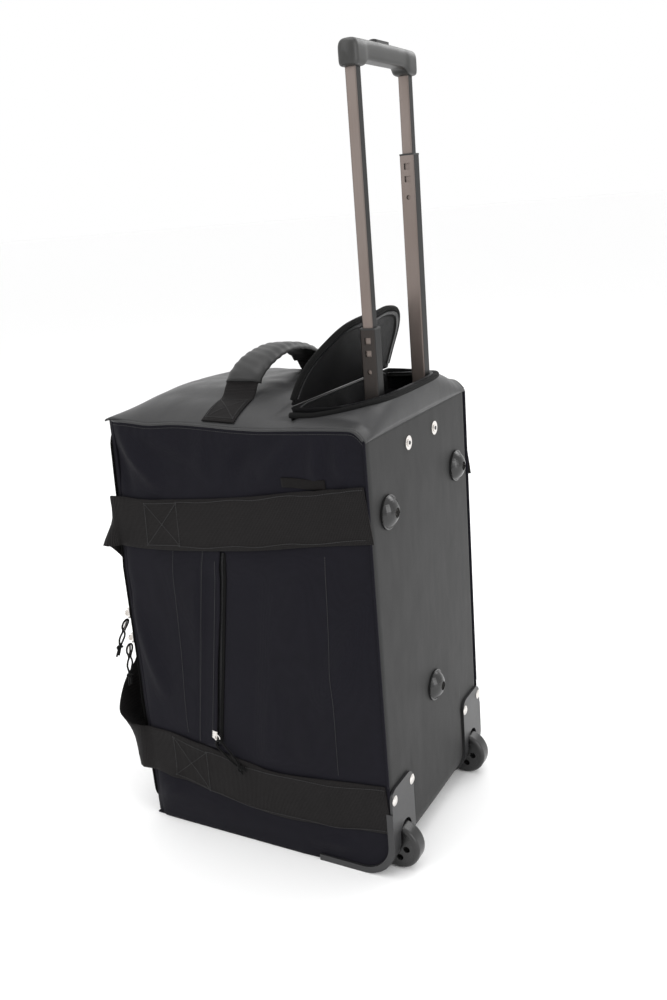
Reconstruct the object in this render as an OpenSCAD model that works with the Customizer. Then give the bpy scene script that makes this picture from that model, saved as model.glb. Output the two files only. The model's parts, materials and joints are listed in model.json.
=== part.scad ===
// Rolling duffel bag standing on its wheel end.
// +X faces the smooth base panel with the wheels and feet, -X the main zip, +Z is up.

/* [Body] */
// Depth from the main zip face to the base panel
body_x = 394; // [390:1:400]
// Width across the wheels
body_y = 312; // [308:1:316]
// Height of the side panels
body_h = 600; // [596:1:604]
// Thickness of every sewn panel
cloth = 2.5; // [2:0.1:3]
// Height of the domed end panel over the edge seam
dome = 30; // [26:1:34]
// Height of the flat rim of the handle compartment over the edge seam
rim_rise = 18; // [16:1:20]

/* [Webbing] */
// Width of the carry straps
strap_w = 70; // [60:1:74]
// Width of the grab handle webbing
grab_w = 50; // [46:1:52]
// Thickness of the webbing
web_t = 2; // [1.6:0.1:2.4]

/* [Telescopic handle] */
// Height of the underside of the grip when pulled out
grip_z = 988; // [984:1:992]
// Half the distance between the tube centres
tube_y = 70; // [69:0.5:71]
// Distance of the tube centres in front of the origin
tube_x = 170; // [169:0.5:170]
// Length of the inner tubes below the grip
inner_len = 520; // [500:5:520]
// Length of the middle tubes
mid_len = 520; // [500:5:520]
// Top of the left middle tube
mid_left_z = 701; // [690:1:710]
// Top of the right middle tube
mid_right_z = 897; // [890:1:900]

/* [Wheels and feet] */
// Radius of the wheels
wheel_r = 32; // [30:0.5:32]
// Width of the tyres
wheel_w = 24; // [20:1:26]
// Distance of the wheel centres from the mid plane
wheel_y = 122; // [121:0.5:123]
// Distance of the axles in front of the origin
wheel_x = 190; // [188:0.5:190]
// Radius of the axles
axle_r = 3; // [2.9:0.05:3]
// Radius of the round feet
foot_r = 20; // [18:0.5:21]

/* [Hidden] */
$fn = 48;
eps = 0.01;
hx = body_x / 2;
hy = body_y / 2;
rim_z = body_h + rim_rise;
base_seam_z = body_h - 15;

// Telescopic handle sections: [x size, y size, wall]
inner_tube = [14, 13, 1.2];
mid_tube = [19.5, 17.5, 1.2];
outer_tube = [24, 22, 1.4];
sleeve_z0 = 45;
sleeve_z1 = 572;
grip_half_w = 12.5;
grip_half_l = 84.5;
grip_h = 30;
block_l = 29;
button_travel = 4;
rod_y = 66.5;
screw_z = grip_z + 14;

// Outline of the handle compartment, seen from above
mouth_x0 = 92;
mouth_depth = 100;
mouth_half = 136;
flap_h = 104;
hinge_x = 89;
flap_lean = 32;

// Wheel housing
well_half = 17;
well_z = 70;
plate_t = 3.5;
plate_y0 = 92;
plate_y1 = 157.5;
plate_z = 130;
corner_round = 50;
leg_x = 118;
flange_x = 86;
flange_z = 98;

// Pocket on the front side panel: lower and upper end of its zip
pocket_low = [-68, 144];
pocket_high = [-25.5, 420];
pocket_tilt = atan2(pocket_high[0] - pocket_low[0], pocket_high[1] - pocket_low[1]);
pocket_len = norm(pocket_high - pocket_low);

// Zip sliders on the main zip, and how far the zip stands out
zip_y = 143;
zip_face = hx + 2.5;
upper_slider_z = 318;
lower_slider_z = 280;

// Centre line of the front carry strap, from the lower seam round its loop to the upper seam,
// with the direction of its inner edge
strap_route = [
    [[185, -157.2, 102], [0, 0, 1]], [[25, -157.2, 88], [0, 0, 1]],
    [[-140, -157.2, 112], [0, 0, 1]], [[-185, -159, 114], [0, 0, 1]],
    [[-200, -162, 116], [0, 0, 1]], [[-217, -153, 122], [-0.1, -0.1, 1]],
    [[-232, -132, 140], [-0.2, -0.45, 0.87]], [[-238, -105, 175], [-0.1, -0.75, 0.6]],
    [[-230, -80, 220], [0, -0.95, 0.3]], [[-222, -68, 285], [0, -1, 0]],
    [[-218, -74, 350], [0, -0.95, -0.3]], [[-214, -95, 405], [0, -0.7, -0.7]],
    [[-209, -125, 443], [0, -0.3, -0.95]], [[-206, -154, 458], [0, 0, -1]],
    [[-199, -162, 460], [0, 0, -1]], [[-185, -159, 461], [0, 0, -1]],
    [[-140, -157.2, 460], [0, 0, -1]], [[25, -157.2, 474], [0, 0, -1]],
    [[192, -157.2, 498], [0, 0, -1]]];

// Centre line of the grab handle webbing: y and height over the edge seam
grab_x = -8;
grab_route = [[-152, 3.2], [-116, 16.5], [-101, 22.5], [-92, 34], [-80, 48], [-55, 60],
    [-25, 67], [0, 69], [25, 67], [55, 60], [80, 48], [92, 34], [101, 22.5], [116, 16.5],
    [152, 3.2]];
sleeve_first = 4;
sleeve_last = 10;

// Cord routes, tail to tail. Each point is sideways, down and outwards from the top of the cord.
main_cord_route = [[-2.4, 66, 0], [-2.4, 60, 0], [-2, 52, 0], [-2, 46, 0], [-4, 39, 0],
    [-5.5, 33, 0], [-4.4, 27, 0], [-2, 22, 0], [-3, 17, 0], [-5.5, 12, 0], [-6.2, 6.5, 0],
    [-4.4, 2, 0], [0, 0, 0], [4.4, 2, 0], [6.2, 6.5, 0], [5.5, 12, 0], [3, 17, 0], [2, 22, 0],
    [4.4, 27, 0], [5.5, 33, 0], [4, 39, 0], [2, 46, 0], [2, 52, 0], [2.4, 60, 0],
    [2.4, 66, 0]];
pocket_cord_route = [[-4, 58, 0], [-3.4, 52, 0], [-2, 46, 0], [-3.6, 38, 0], [-4.8, 30, 0],
    [-5.2, 22, 0], [-5.6, 14, 0], [-6, 7, 0], [-4.4, 2, 0], [0, 0, 0], [4.4, 2, 0], [6, 7, 0],
    [5.6, 14, 0], [5.2, 22, 0], [4.8, 30, 0], [3.6, 38, 0], [2, 46, 0], [3.4, 52, 0],
    [4, 58, 0]];
cord_r = 1.4;
cord_sides = 8;
knot_r = 5;
knot_down = 49;

// Frames that place the cords: [origin, sideways, down, outwards]
upper_frame = [[-205, -150, 309], [0, 1, 0], [-0.4, 0, -0.9165], [-0.9165, 0, 0.4]];
lower_frame = [[-206, -150, 271], [0, 1, 0], [-0.15, 0, -0.9887], [-0.9887, 0, 0.15]];
pocket_frame = [[-62, -162.4, 152], [0.7071, 0, 0.7071], [0.7071, 0, -0.7071], [0, -1, 0]];

// ---- shared shapes ----

function unit(v) = v / norm(v);
function place(frame, p) = frame[0] + p[0] * frame[1] + p[1] * frame[2] + p[2] * frame[3];
function tangent(pts, i) = unit(pts[min(i + 1, len(pts) - 1)] - pts[max(i - 1, 0)]);
function mirror_y(v) = [v[0], -v[1], v[2]];

// Half outline of the compartment mouth: x for a given y, grown by g
function mouth_x(y, g) =
    mouth_x0 + (mouth_depth + g) * sqrt(max(0, 1 - pow(abs(y) / (mouth_half + g), 4)));

module rounded_rect(sx, sy, r) {
    square([sx - 2 * r, sy], center = true);
    square([sx, sy - 2 * r], center = true);
    for (a = [-1, 1], b = [-1, 1])
        translate([a * (sx / 2 - r), b * (sy / 2 - r)])
            circle(r);
}

module tube_section(t, grow = 0) {
    difference() {
        rounded_rect(t[0] + grow, t[1] + grow, 2);
        rounded_rect(t[0] - 2 * t[2], t[1] - 2 * t[2], 1);
    }
}

module box_between(low, high) {
    translate(low)
        cube(high - low);
}

// Closed band swept through stations [centre, half width vector, half thickness vector]
module band(stations) {
    n = len(stations);
    corners = [[-1, -1], [1, -1], [1, 1], [-1, 1]];
    pts = [for (s = stations) for (k = corners) s[0] + k[0] * s[1] + k[1] * s[2]];
    walls = [for (i = [0:n - 2]) for (j = [0:3]) for (h = [0, 1])
        let (a = 4 * i + j, b = 4 * i + (j + 1) % 4)
        h == 0 ? [a, b, b + 4] : [a, b + 4, a + 4]];
    ends = [[0, 3, 2], [0, 2, 1], [4 * n - 4, 4 * n - 3, 4 * n - 2],
        [4 * n - 4, 4 * n - 2, 4 * n - 1]];
    polyhedron(pts, concat(walls, ends));
}

function band_stations(route, half_w, half_t) =
    let (pts = [for (s = route) s[0]])
    [for (i = [0:len(route) - 1])
        let (t = tangent(pts, i), w = unit(route[i][1] - (route[i][1] * t) * t))
        [pts[i], half_w * w, half_t * cross(t, w)]];

// Round cord swept along points that lie near the plane square to ref
module cord_along(pts, r, sides, ref) {
    n = len(pts);
    ring = [for (i = [0:n - 1]) for (j = [0:sides - 1])
        let (t = tangent(pts, i), a = unit(cross(ref, t)), b = cross(t, a), q = 360 * j / sides)
        pts[i] + r * (cos(q) * a + sin(q) * b)];
    walls = [for (i = [0:n - 2]) for (j = [0:sides - 1]) for (h = [0, 1])
        let (a = sides * i + j, b = sides * i + (j + 1) % sides)
        h == 0 ? [a, b + sides, b] : [a, a + sides, b + sides]];
    start = [for (j = [1:sides - 2]) [0, j, j + 1]];
    stop = [for (j = [1:sides - 2])
        [sides * (n - 1), sides * (n - 1) + j + 1, sides * (n - 1) + j]];
    polyhedron(ring, concat(walls, start, stop));
}

module mouth_outline(g) {
    steps = 32;
    top = mouth_half + g;
    polygon(concat(
        [for (i = [0:steps]) let (y = -top + 2 * top * i / steps) [mouth_x(y, g), y]],
        [[mouth_x0 - g, top], [mouth_x0 - g, -top]]));
}

// Everything inside the round lower corner over the wheels, drawn in by g from the brackets
module corner_outline(g) {
    cx = hx + plate_t - corner_round;
    translate([-hx - 20, g])
        square([cx + hx + 20, body_h]);
    translate([-hx - 20, corner_round])
        square([2 * hx + 20 + plate_t - g, body_h]);
    translate([cx, corner_round])
        circle(corner_round - g);
}

module corner_solid(g, y0, y1) {
    translate([0, y1, 0])
        rotate([90, 0, 0])
            linear_extrude(y1 - y0)
                corner_outline(g);
}

// ---- sewn panels ----

module side_panel(s) {
    y = s > 0 ? hy - cloth : -hy;
    intersection() {
        box_between([-hx + cloth, y, 0], [hx - cloth, y + cloth, body_h - cloth]);
        union() {
            corner_solid(plate_t + cloth, y - 1, y + cloth + 1);
            box_between([-hx, y - 1, -1], [leg_x - 1, y + cloth + 1, corner_round]);
        }
    }
}

module front_side_panel() {
    color([0.07, 0.07, 0.09])
        side_panel(-1);
}

module rear_side_panel() {
    color([0.07, 0.07, 0.09])
        side_panel(1);
}

// Border of the main opening outside the zip
module opening_border() {
    color([0.07, 0.07, 0.09])
        difference() {
            box_between([-hx, -hy, 0], [-hx + cloth, hy, body_h - cloth]);
            box_between([-hx - 1, -zip_y - 5, 12], [-hx + cloth + 1, 140, body_h - 12]);
        }
}

module main_zip() {
    color([0.03, 0.03, 0.03])
        difference() {
            box_between([-zip_face, -zip_y - 5, 12], [-hx + cloth, 130, body_h - 12]);
            box_between([-zip_face - 1, -zip_y + 5, 22], [-hx + cloth + 1, 131, body_h - 22]);
        }
}

module lid_panel() {
    color([0.07, 0.07, 0.09])
        difference() {
            box_between([-hx, -zip_y + 5, 12], [-hx + cloth, 140, body_h - 12]);
            box_between([-hx - 1, -zip_y, 11], [-hx + cloth + 1, 130, 22]);
            box_between([-hx - 1, -zip_y, body_h - 22], [-hx + cloth + 1, 130, body_h - 11]);
        }
}

module well_cut(z_top) {
    for (s = [-1, 1])
        translate([0, s * wheel_y, 0])
            box_between([140, -well_half - 4.4, -1], [hx + 1, well_half + 4.4, z_top]);
}

module base_cover() {
    color([0.3, 0.3, 0.3])
        difference() {
            intersection() {
                corner_solid(plate_t, -hy, hy);
                box_between([leg_x - 1, -hy, 0], [hx, hy, base_seam_z]);
            }
            corner_solid(plate_t + cloth, -hy - 1, hy + 1);
            well_cut(well_z + 2.3);
        }
}

// Stiff plastic sheet behind the base cover
module base_board() {
    color([0.5, 0.5, 0.48])
        difference() {
            box_between([hx - 7, -hy + 8, 56], [hx - cloth, hy - 8, 540]);
            well_cut(well_z + 2.3);
        }
}

module lower_end_panel() {
    color([0.2, 0.2, 0.2])
        box_between([-hx + cloth, -hy + cloth, 0], [leg_x - 1, hy - cloth, cloth]);
}

module dome_blocks(shrink, drop) {
    top_y = hy - shrink;
    x0 = -hx + shrink;
    x1 = hx - shrink;
    // pillow over the main compartment
    hull() {
        box_between([x0, -top_y, body_h - 4 - drop], [80, top_y, body_h - drop]);
        box_between([-150, -75, body_h + dome - 2 - drop], [10, 75, body_h + dome - drop]);
        box_between([76, -75, rim_z - 2 - drop], [80, 75, rim_z - drop]);
    }
    // raised rim round the handle compartment
    hull() {
        box_between([80, -top_y, base_seam_z - drop], [x1, top_y, body_h - drop]);
        box_between([80, -140, rim_z - 2 - drop], [x1, 140, rim_z - drop]);
    }
}

module upper_end_panel() {
    color([0.2, 0.2, 0.2])
        difference() {
            dome_blocks(0, 0);
            dome_blocks(cloth, cloth);
            box_between([-hx - 1, -hy - 1, 0], [80, hy + 1, body_h - cloth]);
            box_between([60, -hy - 1, 0], [hx - cloth, hy + 1, body_h - cloth]);
            translate([0, 0, base_seam_z - 1])
                linear_extrude(100)
                    mouth_outline(0);
        }
}

// Cloth cup that closes the handle compartment off from the main one
module compartment_lining() {
    floor_z = 545;
    color([0.1, 0.1, 0.1])
        difference() {
            translate([0, 0, floor_z])
                linear_extrude(rim_z - cloth - floor_z - 0.1)
                    mouth_outline(1.5);
            translate([0, 0, floor_z + 1.5])
                linear_extrude(100)
                    mouth_outline(0);
            for (s = [-1, 1])
                translate([tube_x, s * tube_y, floor_z - 1])
                    linear_extrude(10)
                        square([outer_tube[0] + 0.4, outer_tube[1] + 0.4], center = true);
        }
}

module compartment_zip() {
    color([0.03, 0.03, 0.03])
        translate([0, 0, rim_z])
            linear_extrude(3)
                difference() {
                    mouth_outline(4.8);
                    mouth_outline(0);
                    translate([-hx, -hy - 20])
                        square([hx + mouth_x0 + 1, 2 * hy + 40]);
                }
}

// ---- webbing, pocket and label ----

module front_carry_strap() {
    color([0.09, 0.08, 0.08])
        band(band_stations(strap_route, strap_w / 2, web_t / 2));
}

module rear_carry_strap() {
    flipped = [for (i = [len(strap_route) - 1:-1:0])
        [mirror_y(strap_route[i][0]), mirror_y(strap_route[i][1])]];
    color([0.09, 0.08, 0.08])
        band(band_stations(flipped, strap_w / 2, web_t / 2));
}

function grab_stations(first, last, half_w, half_t, lift = 0) =
    let (pts = [for (p = grab_route) [grab_x, p[0], body_h + p[1]]])
    [for (i = [first:last])
        let (up = cross([1, 0, 0], tangent(pts, i)))
        [pts[i] + lift * up, [half_w, 0, 0], half_t * up]];

module grab_handle_webbing() {
    color([0.09, 0.08, 0.08])
        band(grab_stations(0, len(grab_route) - 1, grab_w / 2, web_t / 2));
}

// Padded layers sewn round the webbing, above and below it
module grab_handle_sleeve() {
    color([0.16, 0.16, 0.16])
        for (layer = [[5, 1], [3, -1]])
            band(grab_stations(sleeve_first, sleeve_last, grab_w / 2 + 3, layer[0] / 2,
                layer[1] * (web_t / 2 + layer[0] / 2)));
}

module on_pocket() {
    translate([pocket_low[0], -hy, pocket_low[1]])
        rotate([0, pocket_tilt, 0])
            children();
}

module pocket_zip() {
    color([0.03, 0.03, 0.03])
        on_pocket()
            box_between([-5, -1.4, 0], [5, 0, pocket_len]);
}

module pocket_welt() {
    color([0.08, 0.08, 0.1])
        on_pocket()
            box_between([-30, -2, 0], [-5, 0, pocket_len]);
}

module blank_label() {
    color([0.04, 0.04, 0.04])
        box_between([77, -hy - 1.2, 527], [139, -hy, 538]);
}

// ---- fixed part of the telescopic handle ----

module outer_sleeve(s) {
    color([0.45, 0.43, 0.41])
        translate([tube_x, s * tube_y, sleeve_z0])
            linear_extrude(sleeve_z1 - sleeve_z0)
                tube_section(outer_tube);
}

module sleeve_bushes() {
    color([0.05, 0.05, 0.05])
        for (s = [-1, 1])
            translate([tube_x, s * tube_y, sleeve_z1])
                linear_extrude(5)
                    difference() {
                        rounded_rect(26, 24, 2);
                        square([mid_tube[0] + 0.8, mid_tube[1] + 0.8], center = true);
                    }
}

module sleeve_end_plugs() {
    color([0.05, 0.05, 0.05])
        for (s = [-1, 1])
            translate([tube_x, s * tube_y, sleeve_z0 - 4]) {
                linear_extrude(4)
                    rounded_rect(outer_tube[0], outer_tube[1], 2);
                translate([0, 0, 4])
                    linear_extrude(8)
                        rounded_rect(outer_tube[0] - 3.2, outer_tube[1] - 3.2, 1);
            }
}

module sleeve_clamps() {
    color([0.05, 0.05, 0.05])
        for (z = [95, 515])
            difference() {
                box_between([tube_x - 16, -92, z], [hx - 7, 92, z + 20]);
                for (s = [-1, 1])
                    translate([tube_x, s * tube_y, z - 1])
                        linear_extrude(22)
                            square([outer_tube[0], outer_tube[1]], center = true);
            }
}

// ---- sliding parts of the telescopic handle ----

// Two square windows and a round hole near the top of the side face
module tube_windows(half_d, z_top) {
    for (dz = [13, 28])
        translate([0, -half_d, z_top - dz])
            cube([8, 6, 7.5], center = true);
    translate([0, -half_d + 3, z_top - 50])
        rotate([90, 0, 0])
            cylinder(h = 6, r = 2.9);
}

module mid_tube_at(s, z_top) {
    color([0.45, 0.42, 0.39])
        translate([tube_x, s * tube_y, 0])
            difference() {
                translate([0, 0, z_top - mid_len])
                    linear_extrude(mid_len)
                        tube_section(mid_tube);
                tube_windows(mid_tube[1] / 2, z_top);
            }
}

module mid_collar_at(s, z_top) {
    color([0.06, 0.06, 0.06])
        translate([tube_x, s * tube_y, z_top])
            linear_extrude(2)
                difference() {
                    rounded_rect(mid_tube[0] + 0.6, mid_tube[1] + 0.6, 2);
                    square([inner_tube[0] + 0.8, inner_tube[1] + 0.8], center = true);
                }
}

module inner_tube_at(s) {
    color([0.5, 0.47, 0.44])
        translate([tube_x, s * tube_y, grip_z - inner_len])
            linear_extrude(inner_len + 10)
                tube_section(inner_tube);
}

// Glide head below each inner tube, with a plug that holds the lock pin
module inner_plugs() {
    bottom = grip_z - inner_len;
    color([0.05, 0.05, 0.05])
        for (s = [-1, 1])
            difference() {
                translate([tube_x, s * tube_y, bottom - 8]) {
                    linear_extrude(8)
                        rounded_rect(16.4, 14.4, 2);
                    linear_extrude(30)
                        rounded_rect(inner_tube[0] - 2.8, inner_tube[1] - 2.8, 1);
                }
                translate([tube_x, s * tube_y, bottom - 4])
                    rotate([90, 0, 0])
                        cylinder(h = 30, r = 2.2, center = true);
            }
}

module lock_pins() {
    color([0.75, 0.75, 0.74])
        for (s = [-1, 1])
            translate([tube_x, s * tube_y, grip_z - inner_len - 4])
                rotate([90, 0, 0])
                    cylinder(h = 14, r = 2.2, center = true);
}

module grip_profile() {
    square_h = 14;
    translate([-grip_half_w, 0])
        square([2 * grip_half_w, square_h]);
    intersection() {
        translate([-grip_half_w, square_h - 1])
            square([2 * grip_half_w, grip_h]);
        translate([0, grip_h - 15.5])
            circle(15.5);
    }
}

module grip_solid() {
    inner_half = grip_half_l - block_l;
    difference() {
        translate([tube_x, grip_half_l, grip_z])
            rotate([90, 0, 0])
                linear_extrude(2 * grip_half_l)
                    grip_profile();
        // finger space under the bar and shallow scoops along it
        box_between([tube_x - 20, -inner_half, grip_z - 1], [tube_x + 20, inner_half, grip_z + 7]);
        for (a = [-1, 1])
            translate([tube_x + a * (grip_half_w + 17), 0, grip_z])
                cube([40, 2 * inner_half, 46], center = true);
        for (s = [-1, 1]) {
            translate([tube_x, s * tube_y, grip_z - 1])
                linear_extrude(11)
                    rounded_rect(inner_tube[0], inner_tube[1], 2);
            translate([tube_x, s * tube_y, screw_z])
                rotate([0, 90, 0])
                    cylinder(h = 22, r = 1.5, center = true);
            translate([tube_x + 7, s * tube_y, screw_z])
                rotate([0, 90, 0])
                    cylinder(h = 10, r = 3.2);
        }
        // cavity for the release bar and the way out for the button
        box_between([tube_x - 4, -68.4, grip_z + 10], [tube_x + 4, 68.4, grip_z + 23]);
        box_between([tube_x - 6, -16.4, grip_z + 12], [tube_x + 6, 16.4, grip_z + 40]);
    }
}

module grip_front_half() {
    color([0.25, 0.25, 0.24])
        intersection() {
            grip_solid();
            box_between([tube_x, -100, grip_z - 10], [tube_x + 30, 100, grip_z + 50]);
        }
}

module grip_rear_half() {
    color([0.25, 0.25, 0.24])
        intersection() {
            grip_solid();
            box_between([tube_x - 30, -100, grip_z - 10], [tube_x, 100, grip_z + 50]);
        }
}

module grip_screws() {
    color([0.75, 0.75, 0.74])
        for (s = [-1, 1])
            translate([tube_x, s * tube_y, screw_z])
                rotate([0, 90, 0]) {
                    cylinder(h = 20, r = 1.5, center = true);
                    translate([0, 0, 7])
                        cylinder(h = 2.5, r = 3);
                }
}

module release_button() {
    color([0.12, 0.12, 0.12])
        intersection() {
            box_between([tube_x - 5.6, -16, grip_z + 21], [tube_x + 5.6, 16, grip_z + 36]);
            translate([tube_x, 20, grip_z + 18])
                rotate([90, 0, 0])
                    cylinder(h = 40, r = 15.5);
        }
}

module release_bar() {
    color([0.12, 0.12, 0.12])
        difference() {
            box_between([tube_x - 3.4, -68, grip_z + 16], [tube_x + 3.4, 68, grip_z + 21]);
            for (s = [-1, 1])
                translate([tube_x, s * rod_y, grip_z + 15])
                    cylinder(h = 10, r = 1);
        }
}

module release_rods() {
    low = grip_z - inner_len + 27;
    color([0.75, 0.75, 0.74])
        for (s = [-1, 1])
            translate([tube_x, s * rod_y, low])
                cylinder(h = grip_z + 21 - low, r = 1);
}

module button_springs() {
    turns = 3;
    spring_r = 2.2;
    wire_r = 0.4;
    low = grip_z + 10 + wire_r;
    rise = 6 - 2 * wire_r;
    steps = turns * 10;
    color([0.75, 0.75, 0.74])
        for (s = [-1, 1])
            cord_along([for (i = [0:steps]) let (q = 360 * turns * i / steps)
                [tube_x + spring_r * cos(q), s * 35 + spring_r * sin(q), low + rise * i / steps]],
                wire_r, 6, [0, 0, 1]);
}

// ---- wheels ----

module well_bore(s) {
    translate([wheel_x, s * (wheel_y - 25), wheel_r])
        rotate([s > 0 ? -90 : 90, 0, 0])
            cylinder(h = 50, r = axle_r);
}

// Moulded corner bracket: curved plate over the base and its lower corner, the side flange
// along its edge, and the walls of the box round the wheel
module wheel_housing(s) {
    yc = s * wheel_y;
    y_lo = min(s * plate_y0, s * plate_y1);
    y_hi = max(s * plate_y0, s * plate_y1);
    side_lo = s > 0 ? hy + 0.3 : -plate_y1 - 1.3;
    flange_w = 9;
    corner_r = 14;
    color([0.1, 0.1, 0.1])
        difference() {
            union() {
                intersection() {
                    difference() {
                        corner_solid(0, y_lo, y_hi);
                        corner_solid(plate_t, y_lo - 1, y_hi + 1);
                    }
                    translate([leg_x, (y_lo + y_hi) / 2, 0])
                        rotate([90, 0, 90])
                            linear_extrude(hx)
                                union() {
                                    translate([0, plate_z / 2])
                                        rounded_rect(y_hi - y_lo, plate_z, corner_r);
                                    translate([(y_lo - y_hi) / 2, 0])
                                        square([y_hi - y_lo, 30]);
                                }
                }
                intersection() {
                    corner_solid(0, yc - 30, yc + 30);
                    box_between([wheel_x - 40, yc - well_half - 2, 0],
                        [hx + plate_t, yc + well_half + 2, well_z + 2]);
                }
                intersection() {
                    difference() {
                        corner_solid(0, side_lo, side_lo + 2.5);
                        corner_solid(flange_w, side_lo - 1, side_lo + 4);
                    }
                    box_between([flange_x, side_lo, 0], [hx + plate_t, side_lo + 2.5, flange_z]);
                }
            }
            box_between([wheel_x - 38, yc - well_half, -1], [hx + 10, yc + well_half, 53]);
            translate([wheel_x - 38, yc, 53])
                rotate([0, 90, 0])
                    cylinder(h = 60, r = well_half);
            well_bore(s);
        }
}

module axles() {
    color([0.8, 0.8, 0.79])
        for (s = [-1, 1])
            translate([wheel_x, s * wheel_y, wheel_r])
                rotate([90, 0, 0]) {
                    cylinder(h = 2 * well_half + 4, r = axle_r, center = true);
                    for (e = [-1, 1])
                        translate([0, 0, e * (well_half + 3)])
                            cylinder(h = 2, r = 5, center = true);
                }
}

module tyre(s) {
    hw = wheel_w / 2;
    core_r = wheel_r - 8;
    edge = 5;
    color([0.05, 0.05, 0.05])
        translate([wheel_x, s * wheel_y, wheel_r])
            rotate([90, 0, 0])
                rotate_extrude($fn = 64)
                    intersection() {
                        translate([core_r, -hw])
                            square([wheel_r - core_r, wheel_w]);
                        union() {
                            translate([0, -hw + edge])
                                square([wheel_r, wheel_w - 2 * edge]);
                            translate([0, -hw])
                                square([wheel_r - edge, wheel_w]);
                            for (e = [-1, 1])
                                translate([wheel_r - edge, e * (hw - edge)])
                                    circle(edge);
                        }
                    }
}

module hub(s) {
    core_r = wheel_r - 8;
    spokes = 5;
    color([0.08, 0.08, 0.08])
        translate([wheel_x, s * wheel_y, wheel_r])
            rotate([90, 0, 0])
                difference() {
                    union() {
                        cylinder(h = wheel_w, r = core_r, center = true);
                        cylinder(h = 2 * well_half - 2, r = 6.5, center = true);
                    }
                    cylinder(h = 60, r = axle_r + 0.05, center = true);
                    for (i = [0:spokes - 1], e = [-1, 1])
                        rotate([0, 0, 360 * i / spokes])
                            translate([14.5, 0, e * 12])
                                cylinder(h = 16, r = 4.6, center = true);
                }
}

// ---- rivets and feet ----

module housing_rivets() {
    color([0.8, 0.8, 0.78])
        for (y = [-150, -97, 97, 150])
            translate([hx + plate_t, y, 115])
                intersection() {
                    rotate([0, 90, 0])
                        cylinder(h = 3, r = 7);
                    translate([-9, 0, 0])
                        sphere(12);
                }
}

foot_places = [[-109, 488], [109, 488], [0, 205]];

module base_feet() {
    cap_h = 11;
    ball_r = (foot_r * foot_r + cap_h * cap_h) / (2 * cap_h);
    color([0.06, 0.06, 0.06])
        for (p = foot_places)
            translate([hx, p[0], p[1]])
                difference() {
                    union() {
                        rotate([0, 90, 0])
                            cylinder(h = 3, r = foot_r + 1.5);
                        intersection() {
                            translate([3 + cap_h - ball_r, 0, 0])
                                sphere(ball_r);
                            rotate([0, 90, 0])
                                cylinder(h = 30, r = foot_r);
                        }
                    }
                    translate([6, 0, 0])
                        rotate([0, 90, 0])
                            cylinder(h = 30, r = 6.2);
                }
}

module foot_screws() {
    color([0.8, 0.8, 0.78])
        for (p = foot_places)
            translate([hx + 6, p[0], p[1]])
                rotate([0, 90, 0])
                    difference() {
                        cylinder(h = 4, r = 6);
                        translate([0, 0, 2])
                            cube([8, 1.6, 5], center = true);
                        translate([0, 0, 2])
                            cube([1.6, 8, 5], center = true);
                    }
}

module clamp_rivets() {
    color([0.6, 0.6, 0.58])
        for (s = [-1, 1])
            translate([hx, s * 41, 557])
                rotate([0, 90, 0]) {
                    cylinder(h = 1.5, r = 9);
                    cylinder(h = 2.8, r = 5);
                }
}

// ---- flap of the handle compartment, standing open ----

module flap_outline(g) {
    steps = 32;
    half = mouth_half - 4 + g;
    polygon(concat([[-half, 0], [half, 0]],
        [for (i = [0:steps]) let (y = half - 2 * half * i / steps)
            [y, (flap_h + g) * sqrt(max(0, 1 - pow(abs(y) / half, 4)))]]));
}

// Sheet that leans from its hinge line towards the tubes
module flap_sheet(thickness) {
    translate([hinge_x, 0, rim_z + 2])
        rotate([0, flap_lean, 0])
            translate([-thickness / 2, 0, 1])
                rotate([90, 0, 90])
                    linear_extrude(thickness)
                        children();
}

module compartment_flap() {
    color([0.12, 0.12, 0.12])
        flap_sheet(3)
            flap_outline(-4);
}

module flap_zip() {
    color([0.03, 0.03, 0.03])
        flap_sheet(6)
            difference() {
                flap_outline(0);
                flap_outline(-4);
                translate([-200, -1])
                    square([400, 5]);
            }
}

// ---- zip sliders, cords and knots ----

// Slider body, its ring and the oblong tab that the cord goes round
module main_slider(z, frame) {
    color([0.8, 0.79, 0.76]) {
        box_between([-zip_face - 4.2, -zip_y - 4.5, z - 7], [-zip_face - 0.3, -zip_y + 4.5, z + 7]);
        translate([-zip_face - 4.2, -zip_y - 4, z])
            rotate([0, -90, 0])
                cylinder(h = 2.4, r = 4);
        band([for (d = [-2, 20])
            [place(frame, [0, d + 2, 0]), 1.8 * frame[1], 1 * frame[3]]]);
    }
}

module upper_slider() {
    main_slider(upper_slider_z, upper_frame);
}

module lower_slider() {
    main_slider(lower_slider_z, lower_frame);
}

module pocket_slider() {
    color([0.8, 0.79, 0.76])
        on_pocket() {
            box_between([-4, -4.4, 10], [4, -1.7, 22]);
            translate([5, -4.4, 14])
                rotate([90, 0, 0])
                    difference() {
                        cylinder(h = 1.6, r = 5.2);
                        translate([0, 0, -1])
                            cylinder(h = 4, r = 3.4);
                    }
        }
}

module cord_in(frame, route) {
    color([0.03, 0.03, 0.03])
        cord_along([for (p = route) place(frame, p)], cord_r, cord_sides, frame[3]);
}

module knot_in(frame, out = 0) {
    color([0.03, 0.03, 0.03])
        translate(place(frame, [0, knot_down, out]))
            sphere(knot_r);
}

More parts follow.
